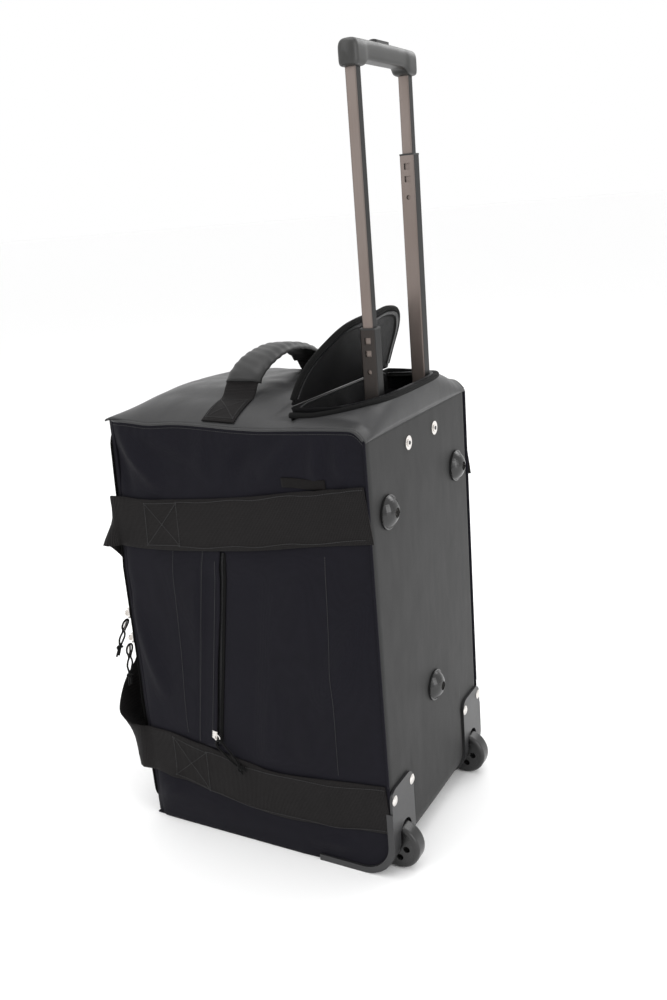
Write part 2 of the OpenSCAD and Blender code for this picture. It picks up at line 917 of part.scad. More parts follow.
front_side_panel();
rear_side_panel();
opening_border();
main_zip();
lid_panel();
base_cover();
base_board();
lower_end_panel();
upper_end_panel();
compartment_lining();
compartment_zip();
front_carry_strap();
rear_carry_strap();
grab_handle_webbing();
grab_handle_sleeve();
pocket_zip();
pocket_welt();
blank_label();
outer_sleeve(-1);  // outer_sleeve_left
outer_sleeve(1);  // outer_sleeve_right
sleeve_bushes();
sleeve_end_plugs();
sleeve_clamps();
wheel_housing(-1);  // wheel_housing_left
wheel_housing(1);  // wheel_housing_right
axles();
housing_rivets();
base_feet();
foot_screws();
clamp_rivets();
inner_tube_at(-1);  // inner_tube_left
inner_tube_at(1);  // inner_tube_right
grip_front_half();
grip_rear_half();
grip_screws();
inner_plugs();
lock_pins();
release_button();
release_bar();
release_rods();
button_springs();
mid_tube_at(-1, mid_left_z);  // mid_tube_left
mid_collar_at(-1, mid_left_z);  // mid_collar_left
mid_tube_at(1, mid_right_z);  // mid_tube_right
mid_collar_at(1, mid_right_z);  // mid_collar_right
tyre(-1);  // tyre_left
hub(-1);  // hub_left
tyre(1);  // tyre_right
hub(1);  // hub_right
compartment_flap();
flap_zip();
upper_slider();
cord_in(upper_frame, main_cord_route);  // upper_cord
knot_in(upper_frame);  // upper_knot
lower_slider();
cord_in(lower_frame, main_cord_route);  // lower_cord
knot_in(lower_frame);  // lower_knot
pocket_slider();
cord_in(pocket_frame, pocket_cord_route);  // pocket_cord
knot_in(pocket_frame, 1.4);  // pocket_knot
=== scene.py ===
import json
import math

import bmesh
import bpy
from mathutils import Matrix, Vector, noise


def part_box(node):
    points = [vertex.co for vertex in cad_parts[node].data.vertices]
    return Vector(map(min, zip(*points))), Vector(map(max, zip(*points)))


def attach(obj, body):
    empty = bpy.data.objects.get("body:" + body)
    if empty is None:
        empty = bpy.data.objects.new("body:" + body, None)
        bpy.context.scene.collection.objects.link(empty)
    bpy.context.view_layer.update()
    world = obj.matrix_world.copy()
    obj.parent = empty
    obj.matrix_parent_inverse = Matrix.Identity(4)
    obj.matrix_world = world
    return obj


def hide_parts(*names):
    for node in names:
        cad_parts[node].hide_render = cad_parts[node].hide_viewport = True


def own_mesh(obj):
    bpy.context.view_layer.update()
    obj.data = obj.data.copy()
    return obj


# Rolling duffel bag. Metres, +Z up, +X out of the base panel, -Y the side that faces the camera.
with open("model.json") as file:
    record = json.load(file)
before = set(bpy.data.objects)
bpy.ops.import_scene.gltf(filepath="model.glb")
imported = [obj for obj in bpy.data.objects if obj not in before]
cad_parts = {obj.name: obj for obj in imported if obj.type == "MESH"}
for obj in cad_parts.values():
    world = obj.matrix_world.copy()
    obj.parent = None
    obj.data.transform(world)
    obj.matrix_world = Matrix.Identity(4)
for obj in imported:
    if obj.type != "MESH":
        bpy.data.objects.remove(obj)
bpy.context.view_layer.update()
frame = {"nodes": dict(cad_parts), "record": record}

# ---------------- main sizes

base_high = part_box("base_cover")[1]
HX = base_high.x       # half length of the base along X and half width of the body along Y
HY = -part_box("front_side_panel")[0].y
BODY_Z = 0.600         # seam under the end panel
BASE_SEAM_Z = base_high.z
RIM_Z = BODY_Z + 0.018
DOME = 0.030
MOUTH_X0 = 0.092       # the compartment's mouth: hinge line, depth along X and half width
MOUTH_DEPTH = 0.100
MOUTH_HALF = 0.136
STRAP_HALF = 0.035
WEB_T = 0.0022
LEG_X = 0.117          # the wheel housings' legs start here
LOWEST = 0.001         # height of the soft underside's edge
ZIP_Y = 0.143          # the main zip's long run, where the sliders are
TUBE_X = 0.170
TUBE_Y = 0.070
FEET = [(-0.109, 0.488), (0.109, 0.488), (0.0, 0.205)]
SIDES = [("front", -1), ("rear", 1)]
FRONT_SEED = 1.7       # places in the noise that shapes each side panel
REAR_SEED = 5.2
FOLD_STRENGTH = 1.7
CLOTH_T = 0.0022


def clamp(t):
    return min(1, max(0, t))


def bell(distance, width):
    """1 at no distance, fading to 0 over a few widths."""
    return math.exp(-(distance / width) ** 2)


def steps(a, b, count):
    """count + 1 even steps from a to b."""
    return [a + (b - a) * i / count for i in range(count + 1)]


# ---------------- camera

def place_camera():
    focal_px = 971.4
    yaw, pitch, roll = (math.radians(a) for a in (29.71, 16.53, -4.67))
    right = Vector((math.cos(yaw), math.sin(yaw), 0))
    ahead = Vector((-math.sin(yaw) * math.cos(pitch), math.cos(yaw) * math.cos(pitch),
                    -math.sin(pitch)))
    up = right.cross(ahead)
    turned_right = right * math.cos(roll) + up * math.sin(roll)
    turned_up = up * math.cos(roll) - right * math.sin(roll)
    data = bpy.data.cameras.new("camera")
    data.sensor_width = 36
    data.lens = focal_px * data.sensor_width / 1000
    camera = bpy.data.objects.new("camera", data)
    bpy.context.scene.collection.objects.link(camera)
    turn = Matrix((turned_right, turned_up, -ahead)).transposed().to_4x4()
    camera.matrix_world = Matrix.Translation((0.6926, -1.1062, 0.83838)) @ turn
    bpy.context.scene.camera = camera


place_camera()


# ---------------- node material helpers

def new_material(name):
    mat = bpy.data.materials.new(name)
    mat.use_nodes = True
    tree = mat.node_tree
    return mat, tree, tree.nodes["Principled BSDF"]


def texture_space(tree, source="Object", scale=(1, 1, 1)):
    coords = tree.nodes.new("ShaderNodeTexCoord")
    mapping = tree.nodes.new("ShaderNodeMapping")
    mapping.inputs["Scale"].default_value = scale
    tree.links.new(coords.outputs[source], mapping.inputs["Vector"])
    return mapping.outputs["Vector"]


def noise_node(tree, vector, scale, detail=4.0, roughness=0.5):
    node = tree.nodes.new("ShaderNodeTexNoise")
    node.inputs["Scale"].default_value = scale
    node.inputs["Detail"].default_value = detail
    node.inputs["Roughness"].default_value = roughness
    tree.links.new(vector, node.inputs["Vector"])
    return node.outputs["Fac"]


def wave_node(tree, vector, period, direction, distortion):
    """Bands a period apart along one axis."""
    node = tree.nodes.new("ShaderNodeTexWave")
    node.bands_direction = direction
    node.inputs["Scale"].default_value = math.tau / (20 * period)
    node.inputs["Distortion"].default_value = distortion
    tree.links.new(vector, node.inputs["Vector"])
    return node.outputs["Fac"]


def maths(tree, kind, a, b):
    node = tree.nodes.new("ShaderNodeMath")
    node.operation = kind
    for value, socket in ((a, node.inputs[0]), (b, node.inputs[1])):
        if isinstance(value, (int, float)):
            socket.default_value = value
        else:
            tree.links.new(value, socket)
    return node.outputs[0]


def weighted(tree, a, a_share, b, b_share):
    """Sum of two values, each times its share."""
    return maths(tree, "ADD", maths(tree, "MULTIPLY", a, a_share),
                 maths(tree, "MULTIPLY", b, b_share))


def spread(tree, value, low, high):
    """Takes a value from 0 to 1 to the range from low to high."""
    node = tree.nodes.new("ShaderNodeMapRange")
    node.inputs["To Min"].default_value = low
    node.inputs["To Max"].default_value = high
    tree.links.new(value, node.inputs["Value"])
    return node.outputs["Result"]


def two_colours(tree, factor, a, b):
    node = tree.nodes.new("ShaderNodeMix")
    node.data_type = "RGBA"
    node.inputs["A"].default_value = (*a, 1)
    node.inputs["B"].default_value = (*b, 1)
    tree.links.new(factor, node.inputs["Factor"])
    return node.outputs["Result"]


def bump(tree, bsdf, height, distance, strength, normal=None):
    node = tree.nodes.new("ShaderNodeBump")
    node.inputs["Distance"].default_value = distance
    node.inputs["Strength"].default_value = strength
    tree.links.new(height, node.inputs["Height"])
    if normal is not None:
        tree.links.new(normal, node.inputs["Normal"])
    tree.links.new(node.outputs["Normal"], bsdf.inputs["Normal"])
    return node.outputs["Normal"]


def woven(name, dark, light, thread, roughness, sheen):
    """Plain weave on any flat direction, with slow changes of tone and gloss."""
    mat, tree, bsdf = new_material(name)
    space = texture_space(tree)
    height = None
    for direction in "XYZ":
        wave = wave_node(tree, space, thread, direction, 0.4)
        height = wave if height is None else maths(tree, "ADD", height, wave)
    clouds = noise_node(tree, space, 9)
    fuzz = noise_node(tree, space, 900, 2)
    tone = weighted(tree, clouds, 0.6, fuzz, 0.4)
    tone = maths(tree, "ADD", maths(tree, "MULTIPLY", height, 0.12), tone)
    tree.links.new(two_colours(tree, spread(tree, tone, -0.1, 1.1), dark, light),
                   bsdf.inputs["Base Color"])
    tree.links.new(spread(tree, clouds, roughness - 0.06, roughness + 0.06),
                   bsdf.inputs["Roughness"])
    bsdf.inputs["Sheen Weight"].default_value = sheen
    bsdf.inputs["Sheen Roughness"].default_value = 0.5
    bsdf.inputs["Specular IOR Level"].default_value = 0.06
    first = bump(tree, bsdf, clouds, 0.004, 0.25)
    bump(tree, bsdf, maths(tree, "ADD", height, fuzz), 0.0002, 0.6, first)
    return mat


def ribbed(name, dark, light, pitch):
    """Webbing: fine ribs across the band and threads along it, laid out by the band's UV map."""
    mat, tree, bsdf = new_material(name)
    along = texture_space(tree, "UV")
    space = texture_space(tree)
    ribs = wave_node(tree, along, pitch, "X", 0.3)
    threads = wave_node(tree, along, pitch * 1.1, "Y", 0.2)
    clouds = noise_node(tree, space, 30)
    fuzz = noise_node(tree, space, 1200, 2)
    weave = maths(tree, "ADD", ribs, maths(tree, "MULTIPLY", threads, 0.35))
    tone = weighted(tree, weave, 0.6, maths(tree, "ADD", clouds, fuzz), 0.2)
    tree.links.new(two_colours(tree, tone, dark, light), bsdf.inputs["Base Color"])
    bsdf.inputs["Roughness"].default_value = 0.62
    bsdf.inputs["Sheen Weight"].default_value = 0.01
    bsdf.inputs["Specular IOR Level"].default_value = 0.08
    bump(tree, bsdf, maths(tree, "ADD", weave, maths(tree, "MULTIPLY", fuzz, 0.4)), 0.0006, 0.8)
    return mat


def coated(name, dark, light, roughness, grain=700, cloudy=7):
    """Coated fabric with a soft, slightly uneven shine and a fine pebbled grain."""
    mat, tree, bsdf = new_material(name)
    space = texture_space(tree)
    clouds = noise_node(tree, space, cloudy, 5)
    grains = noise_node(tree, space, grain, 3)
    scuffs = noise_node(tree, texture_space(tree, "Object", (1, 1, 0.25)), 60, 6, 0.65)
    tone = weighted(tree, clouds, 0.75, grains, 0.25)
    tree.links.new(two_colours(tree, tone, dark, light), bsdf.inputs["Base Color"])
    rough = weighted(tree, scuffs, 0.16, clouds, 0.1)
    tree.links.new(maths(tree, "ADD", rough, roughness - 0.13), bsdf.inputs["Roughness"])
    bsdf.inputs["Specular IOR Level"].default_value = 0.3
    first = bump(tree, bsdf, clouds, 0.006, 0.3)
    bump(tree, bsdf, grains, 0.00025, 0.55, first)
    return mat


def moulded(name, colour, roughness, grain=1500, depth=0.00012):
    """Moulded plastic: fine spark grain, faint flow marks and rubbed patches."""
    mat, tree, bsdf = new_material(name)
    space = texture_space(tree)
    grains = noise_node(tree, space, grain, 2)
    marks = noise_node(tree, space, 35, 5)
    light = tuple(min(1, c * 1.25 + 0.006) for c in colour)
    dark = tuple(c * 0.875 for c in colour)
    tree.links.new(two_colours(tree, marks, dark, light), bsdf.inputs["Base Color"])
    tree.links.new(spread(tree, marks, roughness - 0.07, roughness + 0.09),
                   bsdf.inputs["Roughness"])
    bump(tree, bsdf, grains, depth, 0.5)
    return mat


def plated(name, colour, roughness):
    """Bright plated metal with slightly cloudy gloss."""
    mat, tree, bsdf = new_material(name)
    space = texture_space(tree)
    marks = noise_node(tree, space, 220, 4)
    dark = tuple(c * 0.72 for c in colour)
    tree.links.new(two_colours(tree, marks, dark, colour), bsdf.inputs["Base Color"])
    bsdf.inputs["Metallic"].default_value = 1.0
    tree.links.new(spread(tree, marks, roughness - 0.05, roughness + 0.1),
                   bsdf.inputs["Roughness"])
    bump(tree, bsdf, marks, 0.0001, 0.3)
    return mat


def brushed_tube(name, light, dark):
    """Brushed, anodised aluminium drawn along Z, with a painted reflection: the faces turned to +X
    and -X are painted darker.
    """
    mat, tree, bsdf = new_material(name)
    strokes = noise_node(tree, texture_space(tree, "Object", (1, 1, 0.012)), 1400, 3)
    stains = noise_node(tree, texture_space(tree, "Object", (1, 1, 0.35)), 28, 5)
    geometry = tree.nodes.new("ShaderNodeNewGeometry")
    split = tree.nodes.new("ShaderNodeSeparateXYZ")
    tree.links.new(geometry.outputs["Normal"], split.inputs[0])
    # painted reflection: share of each face turned to +X or -X, where a dark surrounding's
    # reflection is painted into the colour
    sideways = maths(tree, "POWER", maths(tree, "ABSOLUTE", split.outputs["X"], 0), 2)
    tone = weighted(tree, strokes, 0.35, stains, 0.65)
    brown = tuple(c * f for c, f in zip(light, (0.62, 0.55, 0.5)))
    face = two_colours(tree, tone, brown, light)
    # the dark argument is the painted reflection colour, laid on the faces turned to +X and -X
    painted_reflection_mix = tree.nodes.new("ShaderNodeMix")
    painted_reflection_mix.data_type = "RGBA"
    painted_reflection_mix.inputs["B"].default_value = (*dark, 1)
    tree.links.new(sideways, painted_reflection_mix.inputs["Factor"])
    tree.links.new(face, painted_reflection_mix.inputs["A"])
    tree.links.new(painted_reflection_mix.outputs["Result"], bsdf.inputs["Base Color"])
    bsdf.inputs["Metallic"].default_value = 0.75
    tree.links.new(spread(tree, strokes, 0.34, 0.5), bsdf.inputs["Roughness"])
    bump(tree, bsdf, strokes, 0.00008, 0.4)
    return mat


def grey(tone):
    return (tone, tone, tone)


MATS = {
    "side_fabric": woven("side_nylon", (0.0050, 0.0048, 0.0070), (0.0095, 0.0090, 0.0130),
                         0.0009, 0.72, 0.02),
    "coated_fabric": coated("base_coated", grey(0.011), grey(0.021), 0.58),
    "top_fabric": coated("top_coated", (0.017, 0.017, 0.0175), (0.038, 0.038, 0.039), 0.38,
                         900, 11),
    "lining_fabric": woven("lining", (0.0015, 0.0015, 0.0018), (0.0055, 0.0055, 0.006),
                           0.0007, 0.45, 0.02),
    "sleeve_fabric": coated("sleeve_coated", grey(0.012), grey(0.026), 0.42),
    "webbing": ribbed("webbing", (0.0022, 0.0020, 0.0021), (0.017, 0.0155, 0.0155), 0.0021),
    "zip_tape": woven("zip_tape", grey(0.003), grey(0.007),
                      0.0006, 0.7, 0.02),
    "zip_coil": moulded("zip_coil", (0.008, 0.008, 0.009), 0.35),
    "label": woven("label_weave", (0.0045, 0.004, 0.004), (0.009, 0.008, 0.008), 0.0007, 0.5, 0.02),
    "board_plastic": moulded("board_plastic", (0.35, 0.35, 0.33), 0.5),
    # the last colour of each tube is a painted reflection, laid on its faces turned to +X and -X
    "anodised_tube": brushed_tube("anodised_tube", (0.26, 0.225, 0.21), grey(0.012)),
    "dark_tube": brushed_tube("dark_tube", (0.05, 0.045, 0.043), grey(0.012)),
    "black_plastic": moulded("black_plastic", grey(0.008), 0.45),
    "grip_plastic": moulded("grip_plastic", (0.016, 0.016, 0.015), 0.42, 1100, 0.0002),
    "housing_plastic": moulded("housing_plastic", (0.014, 0.014, 0.015), 0.33),
    "foot_plastic": moulded("foot_plastic", grey(0.008), 0.2, 500, 0.00005),
    "tyre": moulded("tyre_rubber", grey(0.008), 0.28, 900, 0.0001),
    "hub_plastic": moulded("hub_plastic", grey(0.010), 0.25),
    "nickel": plated("nickel", (0.80, 0.77, 0.74), 0.2),
    "cord": woven("cord_braid", grey(0.002), grey(0.007), 0.0008, 0.75, 0.05),
    "stitches": moulded("stitching", (0.012, 0.012, 0.013), 0.55),
}
# parts dressed in the dark tube material, which has no slot of its own in the record, in place of
# their own slot
DARK_NODES = {"mid_tube_left"}


def dress(obj, material):
    obj.data.materials.clear()
    obj.data.materials.append(MATS[material])


def dress_frame():
    for part in frame["record"]["subparts"]:
        dark = part["node"] in DARK_NODES
        dress(frame["nodes"][part["node"]], "dark_tube" if dark else part["material_slot"])


dress_frame()


# ---------------- mesh helpers

def leaned(p):
    """The sewn body narrows towards its top: the opening face leans in above the zip sliders."""
    t = clamp((p[2] - 0.39) / 0.21)
    share = clamp(-p[0] / HX)
    return (p[0] + 0.0115 * (1 - (1 - t) ** 2) * share, p[1], p[2])


def mesh_piece(name, points, faces, material, body, uvs=None, smooth=True):
    mesh = bpy.data.meshes.new(name)
    mesh.from_pydata([leaned(p) if body == "bag" else tuple(p) for p in points], [], faces)
    mesh.validate()
    if uvs is not None:
        layer = mesh.uv_layers.new(name="UVMap")
        for loop in mesh.loops:
            layer.data[loop.index].uv = uvs[loop.vertex_index]
    for polygon in mesh.polygons:
        polygon.use_smooth = smooth
    mesh.update()
    obj = bpy.data.objects.new(name, mesh)
    bpy.context.scene.collection.objects.link(obj)
    dress(obj, material)
    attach(obj, body)
    return obj


def modify(obj, kind, **settings):
    modifier = obj.modifiers.new(kind.lower(), kind)
    for key, value in settings.items():
        setattr(modifier, key, value)


def apply_all(obj):
    bpy.context.view_layer.update()
    graph = bpy.context.evaluated_depsgraph_get()
    mesh = bpy.data.meshes.new_from_object(obj.evaluated_get(graph))
    obj.modifiers.clear()
    obj.data = mesh


def tidy(obj, merge):
    """Welds near points and turns every face outwards."""
    bm = bmesh.new()
    bm.from_mesh(obj.data)
    bmesh.ops.remove_doubles(bm, verts=bm.verts, dist=merge)
    bmesh.ops.recalc_face_normals(bm, faces=bm.faces)
    bm.to_mesh(obj.data)
    bm.free()


def drop_loose(obj):
    """Removes points that no face uses."""
    bm = bmesh.new()
    bm.from_mesh(obj.data)
    bmesh.ops.delete(bm, geom=[v for v in bm.verts if not v.link_faces], context="VERTS")
    bm.to_mesh(obj.data)
    bm.free()


def grid_faces(rows, cols, close_cols=False):
    faces = []
    for i in range(rows - 1):
        for j in range(cols if close_cols else cols - 1):
            k = (j + 1) % cols
            faces.append((i * cols + j, i * cols + k, (i + 1) * cols + k, (i + 1) * cols + j))
    return faces


def skin(rows, cols, closed=False):
    """Faces over rows rings of cols points, capped at both ends or joined end to end."""
    last = (rows - 1) * cols
    if closed:
        ends = [(last + j, last + (j + 1) % cols, (j + 1) % cols, j) for j in range(cols)]
    else:
        ends = [tuple(range(cols))[::-1], tuple(last + j for j in range(cols))]
    return grid_faces(rows, cols, True) + ends


def running_length(pts):
    runs = [0.0]
    for a, b in zip(pts, pts[1:]):
        runs.append(runs[-1] + (b - a).length)
    return runs


def smooth_path(points, step):
    """Catmull-Rom curve through given points, as evenly spaced vectors."""
    pts = [Vector(p) for p in points]
    dense = []
    for i in range(len(pts) - 1):
        p0, p1, p2 = pts[max(i - 1, 0)], pts[i], pts[i + 1]
        p3 = pts[min(i + 2, len(pts) - 1)]
        for k in range(16):
            t = k / 16
            dense.append(0.5 * (2 * p1 + (p2 - p0) * t + (2 * p0 - 5 * p1 + 4 * p2 - p3) * t * t
                                + (3 * p1 - p0 - 3 * p2 + p3) * t ** 3))
    dense.append(pts[-1])
    runs = running_length(dense)
    count = max(2, round(runs[-1] / step))
    out, j = [], 0
    for i in range(count + 1):
        goal = runs[-1] * i / count
        while j < len(runs) - 2 and runs[j + 1] < goal:
            j += 1
        span = runs[j + 1] - runs[j]
        t = (goal - runs[j]) / span if span > 0 else 0
        out.append(dense[j].lerp(dense[j + 1], clamp(t)))
    return out


def mirrored(half):
    """A route's first half and its mirror image, with the middle point once."""
    return half + [(-s, d) for s, d in half[-2::-1]]


def tangents(pts):
    last = len(pts) - 1
    return [(pts[min(i + 1, last)] - pts[max(i - 1, 0)]).normalized() for i in range(last + 1)]


def ribbon(name, centres, across, half_w, thickness, material, body, columns):
    """Closed band with rounded long edges. across gives the width direction at each centre."""
    dirs = tangents(centres)
    ring = []
    for j in range(columns + 1):
        a = -1 + 2 * j / columns
        edge = 0.35 + 0.65 * min(1, 4 * (1 - abs(a)))
        ring.append((a, edge))
    points, uvs = [], []
    for i, (centre, run) in enumerate(zip(centres, running_length(centres))):
        w = (across[i] - dirs[i] * across[i].dot(dirs[i])).normalized()
        n = dirs[i].cross(w)
        for sign in (1, -1):
            order = ring if sign > 0 else ring[::-1]
            for a, edge in order:
                points.append(centre + w * (a * half_w) + n * (sign * thickness / 2 * edge))
                uvs.append((run, a * half_w))
    faces = skin(len(centres), 2 * (columns + 1))
    obj = mesh_piece(name, points, faces, material, body, uvs)
    tidy(obj, 0.00001)
    return obj


def tube(name, pts, radius, material, body, sides, closed=False):
    """Round tube along points."""
    side = tangents(pts)[0].orthogonal().normalized()
    points, uvs = [], []
    for p, ahead, run in zip(pts, tangents(pts), running_length(pts)):
        side = (side - ahead * side.dot(ahead)).normalized()
        other = ahead.cross(side)
        for j in range(sides):
            q = math.tau * j / sides
            points.append(p + (side * math.cos(q) + other * math.sin(q)) * radius)
            uvs.append((run, q * radius))
    obj = mesh_piece(name, points, skin(len(pts), sides, closed), material, body, uvs)
    tidy(obj, 0.00001)
    return obj


# ---------------- cords first

CORD_R = 0.0014
KNOT_DOWN = 0.049
# routes in millimetres, sideways and down, from one tail to the bend in the slider's tab
MAIN_CORD = mirrored([(-2.4, 66), (-2.4, 60), (-2, 52), (-2, 46), (-4, 39), (-5.5, 33),
                      (-4.4, 27), (-2, 22), (-3, 17), (-5.5, 12), (-6.2, 6.5), (-4.4, 2), (0, 0)])
POCKET_CORD = mirrored([(-4, 58), (-3.4, 52), (-2, 46), (-3.6, 38), (-4.8, 30), (-5.2, 22),
                        (-5.6, 14), (-6, 7), (-4.4, 2), (0, 0)])
# origin, sideways, down and outwards of each cord
UPPER_FRAME = ((-0.205, -0.150, 0.309), (0, 1, 0), (-0.4, 0, -0.9165), (-0.9165, 0, 0.4))
LOWER_FRAME = ((-0.206, -0.150, 0.271), (0, 1, 0), (-0.15, 0, -0.9887), (-0.9887, 0, 0.15))
POCKET_FRAME = ((-0.062, -0.1624, 0.152), (0.7071, 0, 0.7071), (0.7071, 0, -0.7071), (0, -1, 0))


def in_frame(place, sideways, down):
    origin, a, b, _ = (Vector(v) for v in place)
    return origin + a * sideways + b * down


def overhand_knot(name, place, body):
    """Trefoil of cord pulled tight over both strands, thicker than the cord as its turns swell."""
    centre = in_frame(place, 0, KNOT_DOWN)
    _, a, b, c = (Vector(v) for v in place)
    loop = []
    for i in range(60):
        q = math.tau * i / 60
        x = math.sin(q) + 1.5 * math.sin(2 * q)
        y = math.cos(q) - 1.5 * math.cos(2 * q)
        z = -math.sin(3 * q)
        loop.append(centre + a * (x * 0.0017) + b * (y * 0.0017) + c * (z * 0.0016))
    return tube(name, loop, 0.0017, "cord", body, 8, closed=True)


def cord_piece(word, place, route):
    name, body = word + "_pull_cord", word + "_zip_slider"
    pts = smooth_path([in_frame(place, s / 1000, d / 1000) for s, d in route], 0.0016)
    cord = tube(name, pts, CORD_R, "cord", body, 10)
    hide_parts(word + "_cord")
    knot = overhand_knot(name + "_knot", place, body)
    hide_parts(word + "_knot")
    round(running_length(pts)[-1], 3)


cord_piece("upper", UPPER_FRAME, MAIN_CORD)
cord_piece("lower", LOWER_FRAME, MAIN_CORD)
cord_piece("pocket", POCKET_FRAME, POCKET_CORD)


# ---------------- shape of the sewn shell

def falloff(t, power):
    """1 in the middle of a panel and 0 at its seams, for t from -1 to 1."""
    return max(0.0, 1 - abs(t) ** power)


def wobble(x, y, z, scale, seed):
    return noise.noise(Vector((x * scale + seed, y * scale - seed, z * scale + 2 * seed)))


def ridge(x, y, x0, y0, x1, y1, width, height):
    """Fold along a line from (x0, y0) to (x1, y1), fading out at its far end."""
    d = Vector((x1 - x0, y1 - y0))
    p = Vector((x - x0, y - y0))
    t = p.dot(d) / d.length_squared
    if t < -0.2 or t > 1.2:
        return 0.0
    off = abs(d.x * p.y - d.y * p.x) / d.length
    fade = math.sin(math.pi * clamp((t + 0.2) / 1.4)) ** 0.8
    return height * fade * bell(off, width)


# Folds of the side panels: from x, z to x, z, then width and height
SIDE_FOLDS = [
    (0.118, 0.600, 0.060, 0.545, 0.010, 0.006), (0.135, 0.600, 0.128, 0.540, 0.008, 0.005),
    (0.100, 0.600, 0.020, 0.560, 0.009, -0.004), (0.160, 0.600, 0.165, 0.530, 0.009, 0.004),
    (-0.185, 0.598, -0.120, 0.520, 0.014, 0.007), (-0.190, 0.590, -0.165, 0.480, 0.012, -0.005),
    (-0.160, 0.600, -0.060, 0.560, 0.012, 0.004), (-0.030, 0.600, -0.040, 0.540, 0.012, 0.003),
    (0.040, 0.600, 0.010, 0.520, 0.014, -0.003), (0.190, 0.400, 0.120, 0.260, 0.014, 0.003),
    (-0.185, 0.330, -0.150, 0.220, 0.012, 0.004), (0.185, 0.050, 0.080, 0.020, 0.012, 0.003),
    (-0.190, 0.015, -0.120, 0.090, 0.012, 0.004)]


def strap_band(z, zc):
    """How strongly a carry strap holds the side panel down near its centre line."""
    return bell(max(0.0, abs(z - zc) - STRAP_HALF), 0.018)


# centre lines of the sewn straps, x and z from the base towards the opening
STRAP_LINE_LOW = [(0.200, 0.103), (0.100, 0.090), (-0.010, 0.088), (-0.080, 0.098), (-0.150, 0.113),
                  (-0.210, 0.117)]
STRAP_LINE_HIGH = [(0.200, 0.499), (0.100, 0.486), (0.025, 0.475), (-0.060, 0.466),
                   (-0.150, 0.460), (-0.210, 0.459)]


def line_at(line, x):
    """Height of a strap's centre line at x, eased between its points."""
    for (x0, z0), (x1, z1) in zip(line, line[1:]):
        if x1 <= x <= x0:
            t = (x0 - x) / (x0 - x1)
            t = t * t * (3 - 2 * t)
            return z0 + (z1 - z0) * t
    return line[0][1] if x > line[0][0] else line[-1][1]


def pocket_x(z):
    """Centre line of the pocket zip on the side panel."""
    return -0.068 + (z - 0.144) * (0.044 / 0.286)


def pocket_hold(x, z):
    """The pocket's zip keeps the panel flat beside it, as far as its slider and cord reach."""
    d = x - pocket_x(z)
    wide = clamp((d + 0.035) / 0.02) * clamp((0.085 - d) / 0.022)
    tall = clamp((z - 0.070) / 0.025) * clamp((0.425 - z) / 0.03)
    return 1 - 0.93 * wide * tall


def side_bulge(x, z, seed):
    """How far a side panel stands out of its flat plane."""
    u, v = x / HX, 2 * z / BODY_Z - 1
    edge = falloff(u, 5) * falloff(v, 7)
    held = max(strap_band(z, line_at(line, x)) for line in (STRAP_LINE_LOW, STRAP_LINE_HIGH))
    rise = 0.0045 * falloff(u, 2.2) * falloff(v, 3)
    rise += 0.0045 * wobble(x, seed, z, 7.0, seed) * edge
    rise += 0.0014 * wobble(x * 1.6, seed, z * 0.7, 22.0, seed + 3) * edge
    rise += (FOLD_STRENGTH * sum(ridge(x, z, *fold) for fold in SIDE_FOLDS)
             * min(1, 6 * (1 - abs(v))) * min(1, 6 * (1 - abs(u))))
    if seed == FRONT_SEED:
        rise *= pocket_hold(x, z)
    return rise * (1 - 0.75 * held) + 0.0006


CORNER_R = 0.050
CORNER_X = 0.2005 - CORNER_R
INSET = 0.0036         # the cloth lies inside the housings' curved plates


def low_edge(x):
    """Height of the body's underside at x: the lower corner over the wheels is round."""
    if x < LEG_X:
        return LOWEST
    r = CORNER_R - INSET
    d = min(r, max(0.0, x - CORNER_X))
    return CORNER_R - math.sqrt(max(0.0, r * r - d * d))


def corner_hold(x, z):
    """0 under the brackets at the lower corners, 1 away from them."""
    near_x = clamp((0.150 - x) / 0.03)
    near_z = clamp((z - 0.100) / 0.03)
    runner = clamp((0.080 - x) / 0.02)
    low = clamp((z - 0.012) / 0.02)
    return max(near_x, near_z) * max(runner, low)


def top_edge(x):
    """Height of the seam under the end panel: it sags a little and turns down at the base."""
    sag = 0.0045 * bell(x - 0.045, 0.075) + 0.003 * bell(x + 0.12, 0.03)
    return BODY_Z - sag - (BODY_Z - BASE_SEAM_Z) * (max(0.0, x - HX + 0.02) / 0.02) ** 2


def pucker(t, seed, count=70, height=0.0011):
    """Small gathers along a seam."""
    return height * (math.sin(count * t + 2.4 * math.sin(3.1 * t + seed))
                     * (0.6 + 0.4 * math.sin(7.3 * t + seed)))


def seam_pucker(x, z, seed):
    near_top = bell(BODY_Z - z, 0.018)
    near_base = bell(HX - x, 0.014)
    return (pucker(x * 6, seed) * near_top + pucker(z * 6, seed + 1, 70, 0.0008) * near_base)


def side_point(x, z, sign):
    """Point of the front (sign -1) or rear (sign 1) side panel."""
    seed = FRONT_SEED if sign < 0 else REAR_SEED
    edge = min(1, (1 - abs(x / HX)) * 9) * min(1, (1 - abs(2 * z / BODY_Z - 1)) * 14)
    out = HY + side_bulge(x, z, seed) + seam_pucker(x, z, seed) * edge
    # rounded vertical corners towards the opening
    round_off = 0.010 * bell(x + HX, 0.012)
    hold = corner_hold(x, z)
    out = HY + (out - HY) * hold - 0.0004 * (1 - hold)
    return Vector((x, sign * (out - round_off), z))


def solid_sheet(obj, thickness=CLOTH_T):
    modify(obj, "SOLIDIFY", thickness=thickness, offset=-1)
    apply_all(obj)
    tidy(obj, 0.00001)


